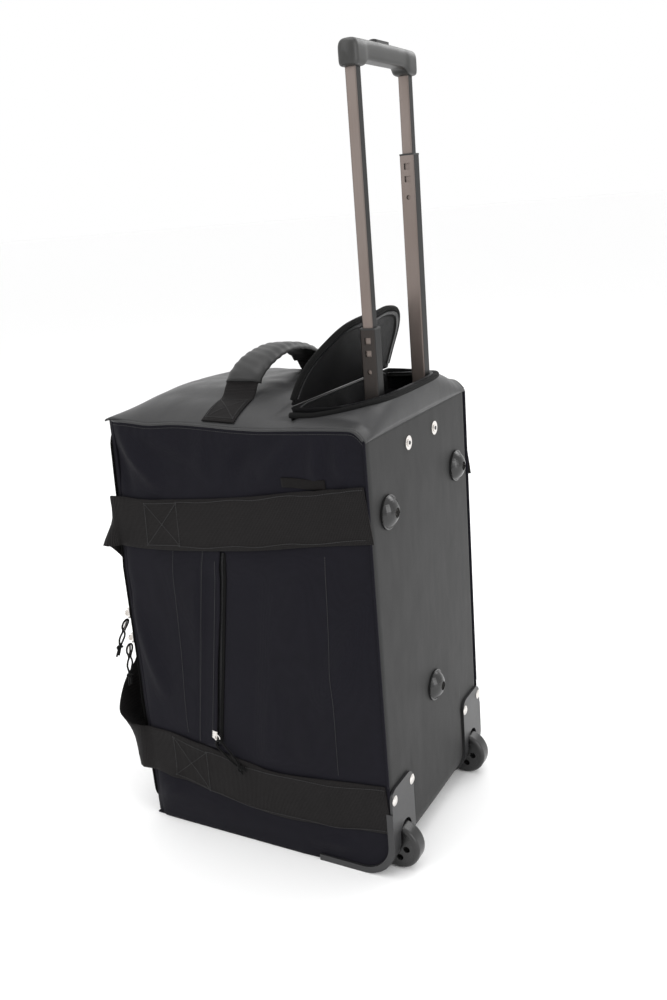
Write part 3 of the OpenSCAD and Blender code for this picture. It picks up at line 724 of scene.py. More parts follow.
def side_panel(word, sign):
    cols, rows = 110, 150
    points, uvs = [], []
    for i in range(rows + 1):
        for x in steps(-HX, HX, cols):
            z = low_edge(x)
            z += (top_edge(x) - z) * i / rows
            p = side_point(x, z, sign)
            if sign < 0:
                p.y += pocket_step(x, z)
            points.append(p)
            uvs.append((x, z))
    faces = grid_faces(rows + 1, cols + 1)
    if sign > 0:
        faces = [f[::-1] for f in faces]
    obj = mesh_piece(word + "_side_shell", points, faces, "side_fabric", "bag", uvs)
    solid_sheet(obj)
    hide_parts(word + "_side_panel")


def pocket_step(x, z):
    """The pocket's mouth: the panel dips behind the welt and comes back up to the right."""
    if not 0.125 < z < 0.445:
        return 0.0
    d = x - pocket_x(z)
    ends = min(1, (z - 0.125) / 0.03, (0.445 - z) / 0.03)
    return ends * (0.0055 * bell(d - 0.004, 0.009))


for word, sign in SIDES:
    side_panel(word, sign)


# ---------------- opening face with its U-shaped zip

def opening_x(y, z):
    """The opening face: soft and slightly bulging, fuller at mid height."""
    u, v = y / HY, 2 * z / BODY_Z - 1
    edge = falloff(u, 6) * falloff(v, 8)
    out = 0.0075 * falloff(u, 5) * falloff(v, 5) * (0.8 + 0.5 * max(0, v))
    out += 0.003 * wobble(0, y, z, 9.0, 8.1) * edge
    out += 0.0012 * wobble(0, y * 2, z, 26.0, 2.2) * edge
    # flat along the run of the two sliders
    near = math.exp(-((y + ZIP_Y) / 0.02) ** 4) * clamp((z - 0.19) / 0.03)
    near *= clamp((0.44 - z) / 0.03)
    out += (min(out, 0.0004) - out) * near
    return -(HX + out - 0.0015)


def opening_panel():
    cols, rows = 84, 150
    points, uvs = [], []
    for z in steps(LOWEST, BODY_Z, rows):
        for y in steps(-HY, HY, cols):
            corner = 0.009 * bell(HY - abs(y), 0.011)
            points.append(Vector((opening_x(y, z) + corner, y * 0.985, z)))
            uvs.append((y, z))
    faces = [f[::-1] for f in grid_faces(rows + 1, cols + 1)]
    obj = mesh_piece("opening_face_shell", points, faces, "side_fabric", "bag", uvs)
    solid_sheet(obj)
    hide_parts("opening_border", "lid_panel")


opening_panel()


# ---------------- zips

def zip_teeth(name, pts, normal, body, pitch=0.0021, size=(0.0008, 0.0022, 0.0007),
              material="zip_coil"):
    """Row of small rounded bars along a path, one mesh: coil teeth or stitches."""
    line = smooth_path(pts, pitch)
    dirs = tangents(line)
    half_along, half_across, half_up = size
    bar = skin(2, 6)
    points, faces = [], []
    for i, p in enumerate(line):
        across = dirs[i].cross(normal).normalized()
        up = across.cross(dirs[i]).normalized()
        base = len(points)
        for a in (-1, 1):
            for q in range(6):
                angle = math.tau * q / 6
                points.append(p + across * (a * half_across)
                              + dirs[i] * (math.cos(angle) * half_along)
                              + up * (math.sin(angle) * half_up))
        faces += [tuple(base + k for k in face) for face in bar]
    obj = mesh_piece(name, points, faces, material, body, smooth=False)
    tidy(obj, 0.000001)


def stitch_row(name, pts, normal):
    zip_teeth(name, pts, normal, "bag", 0.0031, (0.0011, 0.0003, 0.0003), "stitches")


def main_zip_path():
    """Three sides of the opening face, with round corners."""
    r = 0.022
    z0, z1, y0, y1 = 0.017, BODY_Z - 0.017, -ZIP_Y, 0.128
    pts = [(y1, z0)]
    pts += [(y1 + (y0 + r - y1) * t / 8, z0) for t in range(1, 9)]
    pts += [(y0 + r - r * math.sin(a * math.pi / 12), z0 + r - r * math.cos(a * math.pi / 12))
            for a in range(1, 6)]
    pts += [(y0, z0 + r + (z1 - z0 - 2 * r) * t / 24) for t in range(25)]
    pts += [(y0 + r - r * math.cos(a * math.pi / 12), z1 - r + r * math.sin(a * math.pi / 12))
            for a in range(1, 6)]
    pts += [(y0 + r + (y1 - y0 - r) * t / 8, z1) for t in range(9)]
    return [Vector((opening_x(y, z) - 0.0012, y * 0.985, z)) for y, z in pts]


def make_main_zip():
    path = smooth_path(main_zip_path(), 0.006)
    outwards = Vector((-1, 0, 0))
    across = [d.cross(outwards) for d in tangents(path)]
    tape = ribbon("main_zip_tape", path, across, 0.0085, 0.0014, "zip_tape", "bag", 10)
    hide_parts("main_zip")
    lifted = [p + outwards * 0.0012 for p in path]
    zip_teeth("main_zip_coil", lifted, outwards, "bag")
    for side in (-1, 1):
        edge = [p + a.normalized() * side * 0.0068 + outwards * 0.0006
                for p, a in zip(path, across)]
        stitch_row("main_zip_stitch_%s" % ("inner" if side > 0 else "outer"), edge, outwards)


make_main_zip()


# ---------------- upper end panel and compartment

def mouth_x(y, grow=0.0):
    t = min(1, abs(y) / (MOUTH_HALF + grow))
    return MOUTH_X0 + (MOUTH_DEPTH + grow) * math.sqrt(max(0, 1 - t ** 4))


def pillow_z(x, y):
    """Height of the end panel over the main compartment."""
    fx = falloff(min(1, max(-1, (x + HX) / (HX + MOUTH_X0) * 2 - 1)), 4)
    fy = falloff(y / HY, 3)
    lift = max(fx, 0.60 * min(1, (x + HX) / 0.12)) if x > -0.05 else fx
    z = BODY_Z + DOME * lift * fy - (BODY_Z - top_edge(x)) * min(1, abs(y) / HY) ** 8
    z += 0.0035 * wobble(x, y, 0.0, 11.0, 4.4) * falloff(x / HX, 6) * falloff(y / HY, 6)
    z += 0.0012 * wobble(x, y, 0.0, 34.0, 9.1) * falloff(x / HX, 6) * falloff(y / HY, 6)
    return z


def rim_roll(y, t):
    """Panel from the mouth's lip (t=0) over its edge and down to the base panel's seam (t=1)."""
    mx = mouth_x(y) if abs(y) < MOUTH_HALF else MOUTH_X0
    q = t * math.pi / 2
    fy = falloff(y / HY, 5)
    x = mx + (HX + 0.0008 - mx) * math.sin(q) ** 0.9
    z_low = top_edge(x)
    z_high = BASE_SEAM_Z + (RIM_Z + 0.002 - BASE_SEAM_Z) * math.cos(q) ** 0.75
    z = z_low + (z_high - z_low) * fy
    z += 0.0012 * wobble(x, y, z, 30.0, 6.6) * fy * math.sin(2 * q)
    return Vector((x, y, z))


def end_edge_y(x, y):
    """Draws the panel's long edges in line with the side panels."""
    seed = FRONT_SEED if y < 0 else REAR_SEED
    edge = max(0, (abs(y) / HY - 0.8) / 0.2)
    return y + math.copysign(1, y) * edge * (side_bulge(x, BODY_Z - 0.002, seed) - 0.001)


def upper_panel():
    rows, cols, rolls = 104, 96, 18
    ys = steps(-HY, HY, rows)
    points = []
    for y in ys:
        for x in steps(-HX, MOUTH_X0, cols):
            z = pillow_z(x, y)
            if x > 0.05:
                flat = rim_roll(y, 0).z if abs(y) < MOUTH_HALF else z
                blend = ((x - 0.05) / (MOUTH_X0 - 0.05)) ** 2
                z += (min(flat, RIM_Z) - z) * blend * (abs(y) < MOUTH_HALF)
            ear = math.exp(-((x + HX) ** 2 + (y + HY) ** 2) / 0.0008)
            wrap = max(0.0, 1 - (x + HX) / 0.012) ** 2
            points.append(Vector((x + 0.0035 * wrap * (1 - ear), end_edge_y(x, y),
                                  z + 0.003 * ear - 0.004 * wrap)))
    faces = [f[::-1] for f in grid_faces(rows + 1, cols + 1)]
    start = len(points)
    for i, y in enumerate(ys):
        for j in range(rolls + 1):
            p = rim_roll(y, j / rolls)
            if j == 0 and abs(y) >= MOUTH_HALF:
                p = points[i * (cols + 1) + cols].copy()
            elif abs(y) >= MOUTH_HALF - 0.001:
                p.y = end_edge_y(p.x, p.y)
            points.append(p)
    faces += [tuple(start + k for k in f[::-1]) for f in grid_faces(rows + 1, rolls + 1)]
    obj = mesh_piece("upper_end_shell", points, faces, "top_fabric", "bag")
    tidy(obj, 0.0004)
    solid_sheet(obj)
    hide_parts("upper_end_panel")


upper_panel()


def mouth_curve(grow, lift):
    """The D-shaped lip, from one end of the hinge line round to the other."""
    pts = []
    for i in range(61):
        y = -math.cos(math.pi * i / 60) * (MOUTH_HALF - 0.001)
        p = rim_roll(y, 0)
        pts.append(Vector((mouth_x(y, grow), y * (MOUTH_HALF + grow) / MOUTH_HALF, p.z + lift)))
    for end, side in ((0, -1), (-1, 1)):
        corner = Vector((MOUTH_X0 - 0.002, side * (MOUTH_HALF + grow), pts[end].z))
        middle = Vector((MOUTH_X0 + 0.008, side * (MOUTH_HALF + grow + 0.0004), pts[end].z))
        pts = [corner, middle] + pts if side < 0 else pts + [middle, corner]
    return pts


def compartment_rim():
    lip = smooth_path(mouth_curve(0.0015, 0.0), 0.004)
    binding = tube("compartment_binding", lip, 0.0036, "zip_tape", "bag", 12)
    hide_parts("compartment_zip")
    inner = smooth_path(mouth_curve(-0.0035, 0.0005), 0.004)
    up = Vector((0, 0, 1))
    across = [Vector((d.y, -d.x, 0.5)) for d in tangents(inner)]
    ribbon("compartment_zip_tape", inner, across, 0.0055, 0.0014, "zip_tape", "bag", 8)
    zip_teeth("compartment_zip_coil", [p + up * 0.002 for p in inner], up, "bag")


compartment_rim()


def lining():
    """Loose cup of lining round the tubes: it hangs from the lip and gathers in folds."""
    rows, cols = 34, 150
    floor_z = 0.549
    bend = 0.62            # share of the outline that is the mouth's bow
    points = []
    outline = []
    for i in range(cols):
        q = i / cols
        if q < bend:
            y = -math.cos(math.pi * q / bend) * (MOUTH_HALF - 0.001)
            outline.append((mouth_x(y, -0.001), y))
        else:
            t = (q - bend) / (1 - bend)
            outline.append((MOUTH_X0 - 0.001, (MOUTH_HALF - 0.001) * (1 - 2 * t)))
    for i in range(rows + 1):
        t = i / rows
        z = RIM_Z + 0.0005 - (RIM_Z - floor_z) * t
        for x, y in outline:
            fold = 0.0035 * math.sin(34 * y + 9 * x) * math.sin(math.pi * min(1, t * 1.4))
            fold += 0.004 * wobble(x, y, z, 26, 3.3) * math.sin(math.pi * t)
            pull = 0.004 * math.sin(math.pi * t)
            d = Vector((0.145 - x, -y)).normalized()
            if x > 0.13:
                # room for the grip's ends when it is stowed
                calm = clamp((abs(y) - 0.088) / 0.025)
                fold, pull = fold * calm, pull * calm
            points.append(Vector((x + d.x * (pull + abs(fold)), y + d.y * (pull + abs(fold)), z)))
    faces = grid_faces(rows + 1, cols, True)
    obj = mesh_piece("compartment_cup", points, faces, "lining_fabric", "bag")
    solid_sheet(obj, 0.0012)
    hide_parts("compartment_lining")


lining()


def crumpled_floor():
    """Bunched lining on the compartment's floor, between and behind the tubes."""
    nx, ny = 60, 150
    points, faces, index = [], [], {}
    for i, y in enumerate(steps(-0.131, 0.131, ny)):
        for j in range(nx + 1):
            x = MOUTH_X0 + 0.002 + (MOUTH_DEPTH - 0.004) * j / nx
            if x > mouth_x(y, -0.003):
                continue
            near_tube = min(math.hypot(x - TUBE_X, y - s * TUBE_Y) for s in (-1, 1))
            height = 0.034 + 0.02 * clamp((abs(y) - 0.09) / 0.02)
            height *= 1 - bell(max(0, near_tube - 0.022), 0.016)
            height *= min(1, (mouth_x(y, -0.003) - x) / 0.015 + 0.25)
            folds = 0.5 + 0.5 * math.sin(46 * y + 60 * x + 5 * wobble(x, y, 0, 14, 1.1))
            z = 0.560 + height * (0.45 + 0.75 * folds * (0.5 + wobble(x, y, 0, 9, 7.7)))
            cap = 0.574 + 0.036 * clamp((abs(y) - 0.090) / 0.016)
            index[i, j] = len(points)
            points.append(Vector((x, y, min(z, cap))))
    for i in range(ny):
        for j in range(nx):
            quad = [(i, j), (i, j + 1), (i + 1, j + 1), (i + 1, j)]
            if all(k in index for k in quad):
                middle = points[index[quad[0]]]
                if min(max(abs(middle.x - TUBE_X) / 0.0136, abs(middle.y - s * TUBE_Y) / 0.0126)
                       for s in (-1, 1)) > 1:
                    faces.append(tuple(index[k] for k in quad))
    obj = mesh_piece("compartment_gathers", points, faces, "lining_fabric", "bag")
    drop_loose(obj)
    solid_sheet(obj, 0.0012)


crumpled_floor()


# ---------------- flap of the compartment

HINGE = Vector((0.089, 0, 0.620))
FLAP_LEAN = math.radians(32)
FLAP_H = 0.104
FLAP_HALF = 0.132


def flap_height(y):
    return FLAP_H * math.sqrt(max(0, 1 - (abs(y) / FLAP_HALF) ** 4))


def flap_at(y, h):
    """Point of the flap at width y and distance h from its hinge line."""
    share = h / FLAP_H
    curl = 0.006 * math.sin(math.pi * share) - 0.004 * wobble(0, y, h, 16, 2.9) * share
    curl += 0.007 * math.sin(9 * y + 0.6) * share ** 2
    d = Vector((math.sin(FLAP_LEAN), 0, math.cos(FLAP_LEAN)))
    n = Vector((-math.cos(FLAP_LEAN), 0, math.sin(FLAP_LEAN)))
    return HINGE + Vector((0, y, 0)) + d * (h + 0.001) + n * curl


def make_flap():
    cols, rows = 90, 34
    half = FLAP_HALF * 0.9995
    points = [flap_at(y, flap_height(y) * i / rows)
              for i in range(rows + 1) for y in steps(-half, half, cols)]
    obj = mesh_piece("flap_cloth", points, grid_faces(rows + 1, cols + 1), "lining_fabric", "flap")
    tidy(obj, 0.0003)
    solid_sheet(obj, 0.0024)
    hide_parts("compartment_flap")
    edge = []
    for i in range(91):
        y = -math.cos(math.pi * i / 90) * FLAP_HALF * 0.999
        edge.append(flap_at(y, flap_height(y)))
    edge = smooth_path(edge, 0.004)
    normal = Vector((math.cos(FLAP_LEAN), 0, -math.sin(FLAP_LEAN)))
    binding = tube("flap_binding", edge, 0.0034, "zip_tape", "flap", 12)
    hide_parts("flap_zip")
    middle = HINGE + Vector((0.03, 0, 0.03))
    inner = [p + (middle - p).normalized() * 0.0065 + normal * 0.0010 for p in edge]
    across = [d.cross(normal) for d in tangents(inner)]
    ribbon("flap_zip_tape", inner, across, 0.0062, 0.0016, "zip_tape", "flap", 8)
    zip_teeth("flap_zip_coil", [p + normal * 0.0014 for p in inner], normal, "flap")


make_flap()


# ---------------- base cover and lower end panel

WHEEL_Y = 0.122
WELL_HALF = 0.0214
WELL_TOP = 0.0723


def base_x(y, z):
    """The base cover lies over a board: nearly flat, a little loose between the fittings."""
    u, v = y / HY, 2 * z / BASE_SEAM_Z - 1
    edge = falloff(u, 4) * falloff(v, 8)
    out = 0.0016 * falloff(u, 2) * falloff(v, 4)
    out += 0.0016 * wobble(0, y, z, 7.0, 3.7) * edge + 0.0006 * wobble(0, y, z, 21.0, 1.4) * edge
    for fy, fz in FEET:
        out *= 1 - 0.9 * math.exp(-((y - fy) ** 2 + (z - fz) ** 2) / 0.0012)
    out *= clamp((z - 0.135) / 0.03) if abs(y) > 0.085 else 1
    return HX + out - 0.0002


def base_row(z_share):
    """x and z on the base cover's profile: up the base from the round lower corner's start."""
    r = CORNER_R - INSET
    arc = r * math.pi / 2
    flat = CORNER_X - LEG_X
    d = z_share * (flat + arc + BASE_SEAM_Z - CORNER_R)
    if d < flat:
        return LEG_X + d, INSET, (0, -1)
    if d < flat + arc:
        q = (d - flat) / r
        return CORNER_X + r * math.sin(q), CORNER_R - r * math.cos(q), (math.sin(q), -math.cos(q))
    return CORNER_X + r, CORNER_R + d - flat - arc, (1, 0)


def base_shell():
    ys = sorted({round(-HY + 2 * HY * j / 96, 5) for j in range(97)}
                | {s * WHEEL_Y + a * WELL_HALF for s in (-1, 1) for a in (-1, 1)})
    rows = 190
    points, faces, uvs, heights = [], [], [], []
    for i in range(rows + 1):
        x, z, n = base_row(i / rows)
        heights.append((x, z))
        for y in ys:
            corner = 0.0045 * bell(HY - abs(y), 0.005)
            side = 0
            if abs(y) > 0.9 * HY:
                side = math.copysign(side_bulge(HX * 0.999, z, FRONT_SEED) * min(1, z / 0.15), y)
            out = base_x(y, z) - HX - corner
            points.append(Vector((x + n[0] * out, y + side, z + n[1] * out)))
            uvs.append((y, i * 0.0035))
    cols = len(ys)
    for i in range(rows):
        for j in range(cols - 1):
            y_mid, (x_low, z_low) = (ys[j] + ys[j + 1]) / 2, heights[i]
            if z_low < WELL_TOP and x_low > 0.140 and abs(abs(y_mid) - WHEEL_Y) < WELL_HALF:
                continue
            faces.append((i * cols + j, i * cols + j + 1, (i + 1) * cols + j + 1,
                          (i + 1) * cols + j))
    obj = mesh_piece("base_shell", points, faces, "coated_fabric", "bag", uvs)
    drop_loose(obj)
    solid_sheet(obj)
    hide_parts("base_cover")


base_shell()


def lower_shell():
    """Underside: soft cloth that stops in front of the wheel housings' legs."""
    points = []
    for y in steps(-HY + 0.002, HY - 0.002, 60):
        for x in steps(-HX + 0.003, LEG_X + 0.0002, 60):
            sag = 0.0022 + 0.004 * falloff((x + HX) / (LEG_X + HX) * 2 - 1, 4) * falloff(y / HY, 4)
            points.append(Vector((x, y, sag + 0.0007 * wobble(x, y, 0, 16, 5.5))))
    faces = [f[::-1] for f in grid_faces(61, 61)]
    obj = mesh_piece("lower_end_shell", points, faces, "side_fabric", "bag")
    tidy(obj, 0.0003)
    solid_sheet(obj, 0.0018)
    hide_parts("lower_end_panel")


lower_shell()


# ---------------- seams and rows of stitches

FRONT = Vector((0, -1, 0))


def on_side(x, z, lift, sign=-1):
    """Point that lies lift proud of a side panel."""
    p = side_point(x, z, sign)
    p.y += sign * lift
    if sign < 0:
        p.y += pocket_step(x, z)
    return p


def line_on_side(name, x0, z0, x1, z1, sign=-1):
    count = max(8, int(math.hypot(x1 - x0, z1 - z0) / 0.006))
    pts = [on_side(x0 + (x1 - x0) * t / count, z0 + (z1 - z0) * t / count, 0.0003, sign)
           for t in range(count + 1)]
    stitch_row(name, pts, Vector((0, sign, 0)))


def seam_cord(name, pts, material, radius):
    tube(name, pts, radius, material, "bag", 8)


def make_seams():
    span = [-HX + 0.006 + (2 * HX - 0.008) * i / 60 for i in range(61)]
    for word, sign in SIDES:
        top = [on_side(x, top_edge(x) - 0.0015, -0.0004, sign) for x in span]
        seam_cord("upper_seam_" + word, smooth_path(top, 0.004), "top_fabric", 0.0018)
    for word, sign in SIDES:
        edge = [Vector((HX - 0.001, sign * (HY + 0.0006), 0.136 + (BASE_SEAM_Z - 0.138) * i / 60))
                for i in range(61)]
        seam_cord("base_seam_" + word, smooth_path(edge, 0.005), "side_fabric", 0.0016)
    ridge_line = [Vector((base_x(y, BASE_SEAM_Z - 0.001) - 0.0006, y, BASE_SEAM_Z - 0.0005))
                  for y in steps(-HY + 0.005, HY - 0.005, 40)]
    seam_cord("upper_base_seam", smooth_path(ridge_line, 0.005), "coated_fabric", 0.0014)
    line_on_side("seam_stitch_1", 0.133, 0.440, 0.125, 0.140)
    line_on_side("seam_stitch_2", -0.100, 0.428, -0.112, 0.155)
    line_on_side("seam_stitch_3", 0.133, 0.440, 0.125, 0.140, 1)
    stitch_row("upper_stitch_1", [on_side(x, top_edge(x) - 0.0065, 0.0003) for x in span], FRONT)


make_seams()


def eyelet_shade_discs():
    """Painted shade: a black disc in the middle of each clamp rivet's head stands for the shade
    inside its hollow.
    """
    x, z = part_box("clamp_rivets")[1].x, 0.557
    for number, y in enumerate((-0.041, 0.041)):
        tube("eyelet_shade_disc_%d" % number, [Vector((x - 0.001, y, z)), Vector((x + 0.0003, y, z))],
             0.0026, "black_plastic", "bag", 20)


eyelet_shade_discs()


# ---------------- pocket on the front side

POCKET_LOW = (-0.068, 0.144)
POCKET_HIGH = (-0.024, 0.430)


def pocket_point(across, share, lift):
    """Point beside the pocket's zip: across is +X of it, share runs from its lower end up."""
    z = POCKET_LOW[1] + (POCKET_HIGH[1] - POCKET_LOW[1]) * share
    x = POCKET_LOW[0] + (POCKET_HIGH[0] - POCKET_LOW[0]) * share + across
    p = side_point(x, z, -1)
    p.y -= lift
    return p


def make_pocket():
    share = steps(0, 1, 50)
    flat = Vector((1, 0, 0))
    zip_line = [pocket_point(0.0045, t, -0.0024) for t in share]
    tape = ribbon("pocket_zip_tape", zip_line, [flat] * 51, 0.0055, 0.0012, "zip_tape", "bag", 6)
    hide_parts("pocket_zip")
    zip_teeth("pocket_zip_coil", [p + FRONT * 0.0008 for p in zip_line], FRONT, "bag", 0.0019,
              (0.0007, 0.0017, 0.0006))
    # welt: doubled cloth that stands out a little over the zip, its right edge free
    rows, cols = 56, 12
    points = []
    for t in steps(-0.02, 1.02, rows):
        for a in steps(0, 1, cols):
            lift = 0.0004 + 0.0030 * a ** 1.5 * (0.75 + 0.25 * math.sin(5 * t + 1))
            lift *= min(1, 12 * max(0.06, min(t + 0.02, 1.02 - t)))
            points.append(pocket_point(-0.028 + 0.0305 * a + 0.0006 * math.sin(11 * t), t, lift))
    welt = mesh_piece("pocket_welt_cloth", points, grid_faces(rows + 1, cols + 1),
                      "side_fabric", "bag")
    solid_sheet(welt, 0.0016)
    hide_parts("pocket_welt")
    stitch_row("pocket_welt_stitch", [pocket_point(-0.0255, t, 0.0008) for t in share], FRONT)
    stitch_row("pocket_edge_stitch", [pocket_point(-0.0035, t, 0.0035) for t in share[2:-2]], FRONT)


make_pocket()


# ---------------- carry straps

STRAP_Y = -0.1572
# x and z where the strap is sewn down, below and above
STRAP_LOW = [(0.1955, 0.103), (0.150, 0.0985), (0.100, 0.0930), (0.025, 0.088), (-0.060, 0.098),
             (-0.140, 0.112)]
STRAP_HIGH = [(-0.140, 0.460), (-0.060, 0.4655), (0.025, 0.474), (0.110, 0.487), (0.1965, 0.498)]
# points of the free loop between them, and the direction of its width there
STRAP_LOOP = [
    [(-0.185, -0.159, 0.114), (0, 0, 1)], [(-0.200, -0.162, 0.116), (0, 0, 1)],
    [(-0.217, -0.153, 0.122), (-0.1, -0.1, 1)], [(-0.232, -0.132, 0.140), (-0.2, -0.45, 0.87)],
    [(-0.238, -0.105, 0.175), (-0.1, -0.75, 0.6)], [(-0.230, -0.080, 0.220), (0, -0.95, 0.3)],
    [(-0.222, -0.068, 0.285), (0, -1, 0)], [(-0.218, -0.074, 0.350), (0, -0.95, -0.3)],
    [(-0.214, -0.095, 0.405), (0, -0.7, -0.7)], [(-0.209, -0.125, 0.441), (-0.25, -0.3, -0.95)],
    [(-0.206, -0.152, 0.456), (-0.38, -0.05, -1)], [(-0.197, -0.160, 0.460), (-0.2, 0, -1)],
    [(-0.185, -0.159, 0.461), (0, 0, -1)]]
STRAP_ROUTE = ([[(x, STRAP_Y, z), (0, 0, 1)] for x, z in STRAP_LOW] + STRAP_LOOP
               + [[(x, STRAP_Y, z), (0, 0, -1)] for x, z in STRAP_HIGH])
BOX_X = (-0.140, -0.085)   # ends of the sewn box on each strap


def strap_at_rest(x, z, sign):
    """How far the panel under a strap stands out, taken over the strap's width."""
    return max(abs(side_point(x, z + a * 0.008, sign).y) for a in (-2, -1, 0, 1, 2)) - HY


def carry_strap(word, sign):
    def flip(v):
        return Vector((v[0], -sign * v[1], v[2]))

    keys = [flip(p) for p, _ in STRAP_ROUTE]
    ways = [flip(w) for _, w in STRAP_ROUTE]
    centres = smooth_path(keys, 0.005)
    across = []
    for c in centres:
        a, b = sorted(range(len(keys)), key=lambda k: (keys[k] - c).length)[:2]
        da, db = (keys[a] - c).length, (keys[b] - c).length
        across.append((ways[a] * db + ways[b] * da).normalized())
    for _ in range(3):
        across = [(across[max(i - 1, 0)] + across[i] + across[min(i + 1, len(across) - 1)])
                  .normalized() for i in range(len(across))]
    strap = ribbon(word + "_strap", centres, across, STRAP_HALF, WEB_T, "webbing", "bag", 16)
    for vertex in strap.data.vertices:
        x, y, z = vertex.co
        if x > -0.188 and abs(y) > 0.150:
            share = min(1, (x + 0.188) / 0.015)
            vertex.co.y += sign * share * (strap_at_rest(x, min(z, 0.599), sign) + 0.0001)
        elif x < -0.2:
            # the free loop curls a little along its edges
            vertex.co.x -= 0.0015 * math.sin(18 * z + 9 * y)
    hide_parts(word + "_carry_strap")


def box_stitch(name, corners, at, out):
    """A sewn box with a cross in it; at() gives the point for a pair between its corners."""
    for number, (a, b) in enumerate([(0, 1), (1, 2), (2, 3), (3, 0), (0, 2), (1, 3)]):
        pts = [at(u, v) for u, v in zip(*(steps(p, q, 10)
                                          for p, q in zip(corners[a], corners[b])))]
        stitch_row("%s_%d" % (name, number), pts, out)


def strap_stitching(word, sign):
    out = Vector((0, sign, 0))

    def at(x, z):
        p = Vector((x, 0, z))
        p.y = sign * (HY + 0.0012 + WEB_T + strap_at_rest(x, z, sign))
        return p

    for level, line in (("lower", STRAP_LINE_LOW), ("upper", STRAP_LINE_HIGH)):
        x0, x1 = BOX_X
        z0, z1 = line_at(line, x0), line_at(line, x1)
        inset = STRAP_HALF - 0.006
        corners = [(x0, z0 - inset), (x1, z1 - inset), (x1, z1 + inset), (x0, z0 + inset)]
        box_stitch("%s_%s_box" % (word, level), corners, at, out)
        for number, edge in enumerate((-1, 1)):
            pts = [at(x, line_at(line, x) + edge * (STRAP_HALF - 0.0045))
                   for x in steps(x1, 0.190, 40)]
            stitch_row("%s_%s_edge_%d" % (word, level, number), pts, out)


for word, sign in SIDES:
    carry_strap(word, sign)
for word, sign in SIDES:
    strap_stitching(word, sign)


# ---------------- grab handle

GRAB_X = -0.008
GRAB_HALF = 0.025
# y and height over the end panel's seam, in millimetres
GRAB_ROUTE = mirrored([(-152, 3.2), (-134, 10), (-116, 16.5), (-101, 22.5), (-92, 34), (-80, 48),
                       (-55, 60), (-25, 67), (0, 69)])


def grab_handle():
    pts = [Vector((GRAB_X, y / 1000, BODY_Z + z / 1000)) for y, z in GRAB_ROUTE]
    centres = smooth_path(pts, 0.004)
    web = ribbon("grab_webbing", centres, [Vector((1, 0, 0))] * len(centres), GRAB_HALF, WEB_T,
                 "webbing", "bag", 14)
    for vertex in web.data.vertices:
        x, y, z = vertex.co
        share = clamp((abs(y) - 0.100) / 0.012)
        route_z = centres[min(range(len(centres)), key=lambda k: abs(centres[k].y - y))].z
        vertex.co.z += share * (pillow_z(x, y) + 0.0016 - route_z)
    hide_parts("grab_handle_webbing")
    y0, y1 = 0.111, 0.147
    inset = GRAB_HALF - 0.004
    corners = [(-inset, y0), (inset, y0), (inset, y1), (-inset, y1)]
    for word, side in SIDES:
        def at(dx, out):
            x, y = GRAB_X + dx, side * out
            return Vector((x, y, pillow_z(x, y) + 0.0030))

        box_stitch("grab_box_" + word, corners, at, Vector((0, 0, 1)))
    grab_sleeve([p for p in centres if abs(p.y) < 0.090])


def grab_sleeve(centres):
    """Padded wrap round the webbing, closed by a hidden seam under it."""
    dirs = tangents(centres)
    sides = 36
    points, uvs = [], []
    last = len(centres) - 1
    for i, (c, run) in enumerate(zip(centres, running_length(centres))):
        n = Vector((1, 0, 0)).cross(dirs[i])
        end = 0.80 + 0.20 * min(1, 6 * min(i, last - i) / last)
        for j in range(sides):
            q = math.tau * j / sides
            ca, sa = math.cos(q), math.sin(q)
            w = math.copysign(abs(ca) ** 0.7, ca) * 0.0275
            up = math.copysign(abs(sa) ** 0.8, sa) * (0.0062 if sa > 0 else 0.0042) * end
            up += 0.0030 * (abs(ca) ** 3) * -1
            up += 0.0008 * wobble(w, c.y, 0, 40, 7.1) + 0.0005 * math.sin(run * 420 + 3 * w * 60)
            points.append(c + Vector((w, 0, 0)) + n * (up + 0.0002))
            uvs.append((run, w))
    faces = skin(len(centres), sides)
    obj = mesh_piece("grab_sleeve", points, faces, "sleeve_fabric", "bag", uvs)
    tidy(obj, 0.00001)
    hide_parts("grab_handle_sleeve")


grab_handle()


# ---------------- blank label

def make_label():
    pts = [on_side(0.082 + 0.060 * i / 20, 0.5315 + 0.0006 * math.sin(i / 3), 0.0011)
           for i in range(21)]
    label = ribbon("label_cloth", pts, [Vector((0, 0, 1))] * 21, 0.0062, 0.0007, "label", "bag", 8)
    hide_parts("blank_label")


make_label()


# ---------------- grip of the telescopic handle

GRIP_Z = 0.988
def grip_section(y):
    """Half width, underside and top of the grip at y."""
    a = abs(y)
    block = 1 / (1 + math.exp(-(a - 0.0555) / 0.0022))
    end = math.sqrt(max(0.0, 1 - max(0.0, (a - 0.0765) / 0.0082) ** 2))
    half = (0.0108 + 0.0017 * block) * (0.35 + 0.65 * end)
    low = GRIP_Z + 0.0075 * (1 - block) + 0.004 * (1 - end)
    high = GRIP_Z + 0.0292 + 0.0008 * math.cos(y * 20) - 0.0070 * (1 - end)
    return half, low, high


